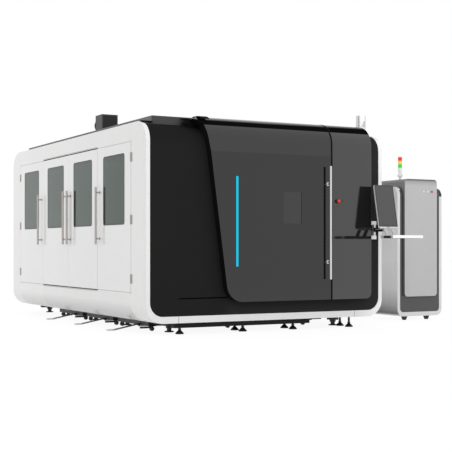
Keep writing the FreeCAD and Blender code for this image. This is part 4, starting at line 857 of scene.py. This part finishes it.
coat(finished("sliding_skin", "front_door_skin", edge=0.0008), door_grey)
flange = finished("sliding_flange", "front_door_frame", edge=0.0008)
coat(flange, cap_black)
# The flange's side and back faces take plain black, kept clear of the painted highlight.
repaint(flange, flank_black, lambda c, n: abs(n.x) > 0.15 or n.y > 0.3)

# The flange's top left tip is cut at a slant. A plain plate behind it, drawn out of its outline,
# and a strip bent over the brow close the corner.
tip, slant = at(600, 0, 2268), (-0.391, 0, 0.92)
wing_outline = ((468, 2196), (468, 2205), (480, 2222), (509, 2241), (561, 2254), (578, 2264),
                (600, 2272), (690, 2274), (690, 2196))
arch = ((-28, 2245), (-10, 2258), (10, 2268), (35, 2276), (62, 2280.2), (90, 2281.6),
        (198, 2281.6))
arch_wall = 1.5

form = bmesh.new()
form.from_mesh(flange.data)
cut = bmesh.ops.bisect_plane(form, geom=form.verts[:] + form.edges[:] + form.faces[:],
                             dist=0.00001, plane_co=tip, plane_no=slant, clear_outer=True)
bmesh.ops.holes_fill(form, edges=[line for line in cut["geom_cut"]
                                  if isinstance(line, bmesh.types.BMEdge)])
form.to_mesh(flange.data)
form.free()
form = bmesh.new()
wing = [form.verts.new(at(x, 118, z)) for x, z in wing_outline]
strip = [form.verts.new(at(612, y, z))
         for y, z in [*arch, *((y, z - arch_wall) for y, z in reversed(arch))]]
for corners, depth in ((wing, (0, 0.018, 0)), (strip, (0.098, 0, 0))):
    thickened(form, [form.faces.new(corners)], depth)
bmesh.ops.recalc_face_normals(form, faces=form.faces)
fitted("sliding_wing", form, flank_black, "front_door")

coat(finished("front_pane", "front_door_window", edge=0.0006), dark_pane)
pane_x, pane_y, pane_z = extent("front_door_window")
bead = border(*[(high - low - 2 * rebate) / 1000 for low, high in (pane_x, pane_z)],
              0.012, bead_width, 0.0016)
bmesh.ops.translate(bead, verts=bead.verts,
                    vec=at(sum(pane_x) / 2, pane_y[0] - 2.2, sum(pane_z) / 2))
fitted("front_pane_bead", bead, sealant, "front_door")
coat(finished("light_strip", "front_door_led", edge=0.0), cyan_glow)
coat(finished("long_grip", "front_door_handle", edge=0.0015), bright_steel)
coat(finished("top_rail", "front_door_rail", edge=0.0006), roof_grey_painted_shade)
coat(finished("rollers", "front_door_hangers"), zinc)


# ---- Fixed cover beside the door
# The same wrap carried on to the right in a lighter gloss grey, with a rubber lip along the
# seam, an emergency stop in a collar, and two small dark plugs beside it.
# The cover's grey is also painted lighter towards the right: painted light.
cover_grey = gloss_grey("gloss cover grey", 0.006, 0.0145, 1.75, 0.055)
coat(finished("cover_sheet", "fixed_cover_skin", edge=0.0008), cover_grey)
cover_flange = finished("cover_flange", "fixed_cover_frame", edge=0.0008)
coat(cover_flange, cap_black)
# The cover flange's side and back faces take plain black, kept clear of the painted highlight.
repaint(cover_flange, flank_black, lambda c, n: n.x < -0.15 or n.y > 0.3)

# The lip follows the wrap: up, in a little above the crease, round the brow and back.
lip_width, lip_wall, lip_proud = 0.017, 0.0022, 1.4
(seam, _), (cover_front, _), (cover_low, _) = extent("fixed_cover_skin")
_, (_, wrap_back), (_, wrap_top) = extent("fixed_cover_frame")
lip_x = seam - 8
wrap_radius, inset, lean_depth = 250, 6, 6
lean = math.atan2(lean_depth, wrap_top - crease_height)
tangent = wrap_radius / math.tan((math.pi / 2 + lean) / 2)
brow_front = cover_front + inset

form = bmesh.new()
points = strung(form, [at(lip_x, cover_front - lip_proud, z) for z in (cover_low, crease_height)]
                + [at(lip_x, brow_front - lip_proud - math.sin(lean) * tangent,
                      wrap_top - math.cos(lean) * tangent)])
brow = bmesh.ops.spin(form, geom=[points[-1]],
                      cent=at(lip_x, brow_front + tangent, wrap_top - wrap_radius),
                      axis=(1, 0, 0), angle=-(math.pi / 2 - lean), steps=16)
last = [v for v in brow["geom_last"] if isinstance(v, bmesh.types.BMVert)][0]
form.edges.new((last, form.verts.new(at(lip_x, wrap_back - 1, wrap_top + lip_proud))))
drawn_out(form, form.edges[:], (lip_width, 0, 0))
for face in form.faces:
    face.smooth = True
bmesh.ops.recalc_face_normals(form, faces=form.faces)
lip = fitted("seam_lip", form, flank_black, "machine")
wall = lip.modifiers.new("wall", "SOLIDIFY")
wall.thickness = lip_wall
wall.offset = 0.0

stop_red = sprayed("red button plastic", (0.75, 0.025, 0.02), 0.28, shift=0.04, peel=0.02)
collar_black = sprayed("black moulding", (0.012, 0.012, 0.012), 0.35, peel=0.05)
coat(finished("stop_collar", "e_stop_collar", edge=0.001), collar_black)
coat(finished("stop_mushroom", "e_stop_button", edge=0.001), stop_red)
plugs = [turned("plug", [(0, 0.0035), (0.005, 0.003), (0.0065, 0.0012), (0.0065, -0.001)],
                at(x, cover_front, 1420), (0, -1, 0), steps=20) for x in (2317, 2344)]
fitted("cover_plugs", gathered(plugs), collar_black, "machine")


# ---- Console
# White bracket blocks, a black cast arm with a grey yoke, a tilting monitor in a silver case
# with a dark glass front, and a white tray for a keyboard. The arm turns on a pin.
block_white = white_coat("white block coat", (0.95, 0.95, 0.95), 0.3)
arm_black = sprayed("black arm coat", (0.009, 0.009, 0.009), 0.5, shift=0.15, peel=0.08,
                    level=0.15)
case_silver = sprayed("silver case", (0.66, 0.66, 0.67), 0.3, shift=0.03)
screen_glass = sprayed("screen glass", (0.066, 0.066, 0.067), 0.07, shift=0.03, peel=0.0)
bezel_black = sprayed("bezel black", (0.036, 0.036, 0.037), 0.25, shift=0.05)
yoke_grey = sprayed("grey yoke paint", (0.5, 0.5, 0.5), 0.35, shift=0.03)
leg_shade = sprayed("grey leg sides in painted shade", (0.26, 0.26, 0.26), 0.4, shift=0.03)
yoke_back = at(0, -187, 0).y
leg_low, leg_high, leg_top, yoke_low = 1.04, 1.098, 1.1015, 1.11
case_low = 1.16
tilt = -11.4

coat(finished("console_blocks", "console_bracket", edge=0.002), block_white)
arm = finished("swing_arm", "console_arm", edge=0.002)
coat(arm, arm_black)
repaint(arm, yoke_grey, lambda c, n: c.y < yoke_back and (
    leg_low < c.z < leg_high or c.z > yoke_low or (c.z >= leg_high and n.y < -0.5)))
# The legs' left sides take a darker grey: painted shade.
repaint(arm, leg_shade, lambda c, n: leg_low < c.z < leg_high and n.x < -0.8 and c.y < yoke_back)
# The legs' back faces are painted black, as painted shade.
repaint(arm, arm_black, lambda c, n: leg_low < c.z < leg_top and n.y > 0.3)
tray = finished("keyboard_tray", "console_tray", edge=0.002)
coat(tray, block_white)
# The tray's back and underside are painted black and its left side grey: painted shade.
repaint(tray, arm_black, lambda c, n: n.y > 0.8 or n.z < -0.8)
repaint(tray, yoke_grey, lambda c, n: n.x < -0.8)
tray_x, tray_y, tray_z = extent("console_tray")
port = slabs(((tray_x[0] - 0.6, tray_x[0] + 3), (tray_y[0] + 38, tray_y[1] - 60),
              (tray_z[0] + 2, tray_z[1] - 7)))
fitted("tray_side_port", port, arm_black, "console")
display = finished("display_case", "monitor", edge=0.0015)
coat(display, case_silver)
repaint(display, screen_glass, lambda c, n: n.y < -0.95 and c.z > case_low)
repaint(display, arm_black, lambda c, n: n.y > 0.9 and c.z > case_low)
bezel = border(0.25, 0.468, 0.006, 0.009, 0.0012)
bmesh.ops.translate(bezel, verts=bezel.verts, vec=at(2784, -340, 1372))
bmesh.ops.rotate(bezel, verts=bezel.verts, cent=at(2784, -329, 1121),
                 matrix=Matrix.Rotation(math.radians(tilt), 3, "X"))
fitted("screen_bezel", bezel, bezel_black, "display")
caps = slabs(*[((2764, 2836.4), (-41, -7), (z, z + 43)) for z in (998.5, 1161.5)],
             *[((2803, 2825), (-41, -34), z) for z in ((1041, 1083), (1127, 1162))])
fitted("bracket_caps", caps, block_white, "machine")


# ---- Cabinet
# A white sheet-metal cabinet with a charcoal front panel and a proud silver cover that folds
# back over the top as a hood. A red start button and two white pilot lamps are set in it.
cover_x, _, cover_z = extent("cabinet_cover")
hood_top = cover_z[1] / 1000
cabinet_front = extent("cabinet_body")[1][0]

cabinet_white = white_coat("cabinet coat", (0.71, 0.71, 0.71), 0.3)
# The cabinet's left side is painted darker towards the floor and a little towards the top: painted
# shade where it faces the cabin.
side_white_painted_shade = toned(white_coat("cabinet side coat with painted shade", (0.8, 0.8, 0.8), 0.3), "Z",
                   (0.09, 0.13), (0.14, 0.45), (0.18, 0.58), (0.31, 0.82), (0.4, 0.95),
                   (0.75, 1.0), (1.1, 0.9), (1.5, 0.76))
roll_white = toned(white_coat("cabinet roll coat", (0.7, 0.7, 0.7), 0.3), "X",
                   (at(3762, 0, 0).x, 1.0), (at(3764, 0, 0).x, 0.025))
panel_charcoal = sprayed("charcoal panel", (0.069, 0.069, 0.07), 0.4, shift=0.03)
# The silver cover is painted darker over its top 85 mm towards the hood's crown, and its left side
# faces take a darker copy: painted shade.
cover_silver_shaded_top = toned(sprayed("silver cover paint", (0.49, 0.49, 0.49), 0.34, shift=0.02), "Z",
                     (hood_top - 0.085, 1.0), (hood_top - 0.03, 0.75), (hood_top - 0.012, 0.3),
                     (hood_top, 0.08))
cover_shade = sprayed("silver cover sides in painted shade", (0.18, 0.18, 0.18), 0.4, shift=0.02)
lamp_white = sprayed("white lamp lens", (0.85, 0.85, 0.86), 0.2, peel=0.0)
shell = finished("cabinet_shell", "cabinet_body")
coat(shell, cabinet_white)
repaint(shell, side_white_painted_shade, lambda c, n: n.x < -0.7)
repaint(shell, roll_white, lambda c, n: n.y < -0.05 and n.z > 0.05)
coat(finished("cabinet_front", "cabinet_panel"), panel_charcoal)
cover = finished("silver_cover", "cabinet_cover", edge=0.0015)
coat(cover, cover_silver_shaded_top)
repaint(cover, cover_shade, lambda c, n: n.x < -0.7)
# A black strip on the panel along the cover's left side is a painted shadow of the cover.
shadow_strip_form = slabs(((cover_x[0] - 9, cover_x[0] + 0.5), (cabinet_front - 1, cabinet_front + 4.5),
                (cover_z[0] + 9, 1560)))
fitted("cover_painted_shadow_strip", shadow_strip_form, sealant, "machine")
coat(finished("start_button_cap", "cabinet_button", edge=0.0006), stop_red)
coat(finished("pilot_lenses", "cabinet_lamps", edge=0.0012), lamp_white)
coat(finished("cabinet_feet_cast", "cabinet_feet", edge=0.001), cast_black)
coat(finished("floor_duct", "cable_duct", edge=0.002), charcoal)


# ---- Light tower
# Three moulded lamp drums, red over amber over green, on a pale grey stem with a round collar
# that is screwed to the hood, and a pale cap on top.
def lit_lens(name, colour, glow):
    """Coloured lens plastic with a little light of its own."""
    material = sprayed(name, colour, 0.18, shift=0.05, peel=0.0)
    shader = material.node_tree.nodes["Principled BSDF"]
    shader.inputs["Emission Color"].default_value = (*glow, 1)
    shader.inputs["Emission Strength"].default_value = 1.0
    return material


low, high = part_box("tower_lamps")
amber_low, red_low = low[2] + 0.045, low[2] + 0.0895

stem_grey = sprayed("pale grey plastic", (0.84, 0.84, 0.85), 0.35, shift=0.02)
lens_red = lit_lens("red lens", (0.85, 0.012, 0.012), (0.22, 0.0, 0.0))
lens_amber = lit_lens("amber lens", (0.82, 0.56, 0.12), (0.16, 0.1, 0.015))
lens_green = lit_lens("green lens", (0.02, 0.66, 0.015), (0.0, 0.12, 0.0))
coat(finished("tower_stem", "tower_base", edge=0.0008), stem_grey)
drums = finished("tower_drums", "tower_lamps", edge=0.0008)
coat(drums, lens_green)
repaint(drums, lens_amber, lambda c, n: amber_low <= c.z < red_low)
repaint(drums, lens_red, lambda c, n: c.z >= red_low)
tower_cap = turned("tower_cap", [(0, 0.011), (0.015, 0.0105), (0.0225, 0.008), (0.0245, 0.004),
                                 (0.0245, -0.0005), (0, -0.0005)],
                   Vector(((low[0] + high[0]) / 2, (low[1] + high[1]) / 2, high[2])), (0, 0, 1),
                   steps=32)
coat(tower_cap, stem_grey)
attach(tower_cap, "machine")


bpy.context.scene.view_settings.view_transform = "Standard"
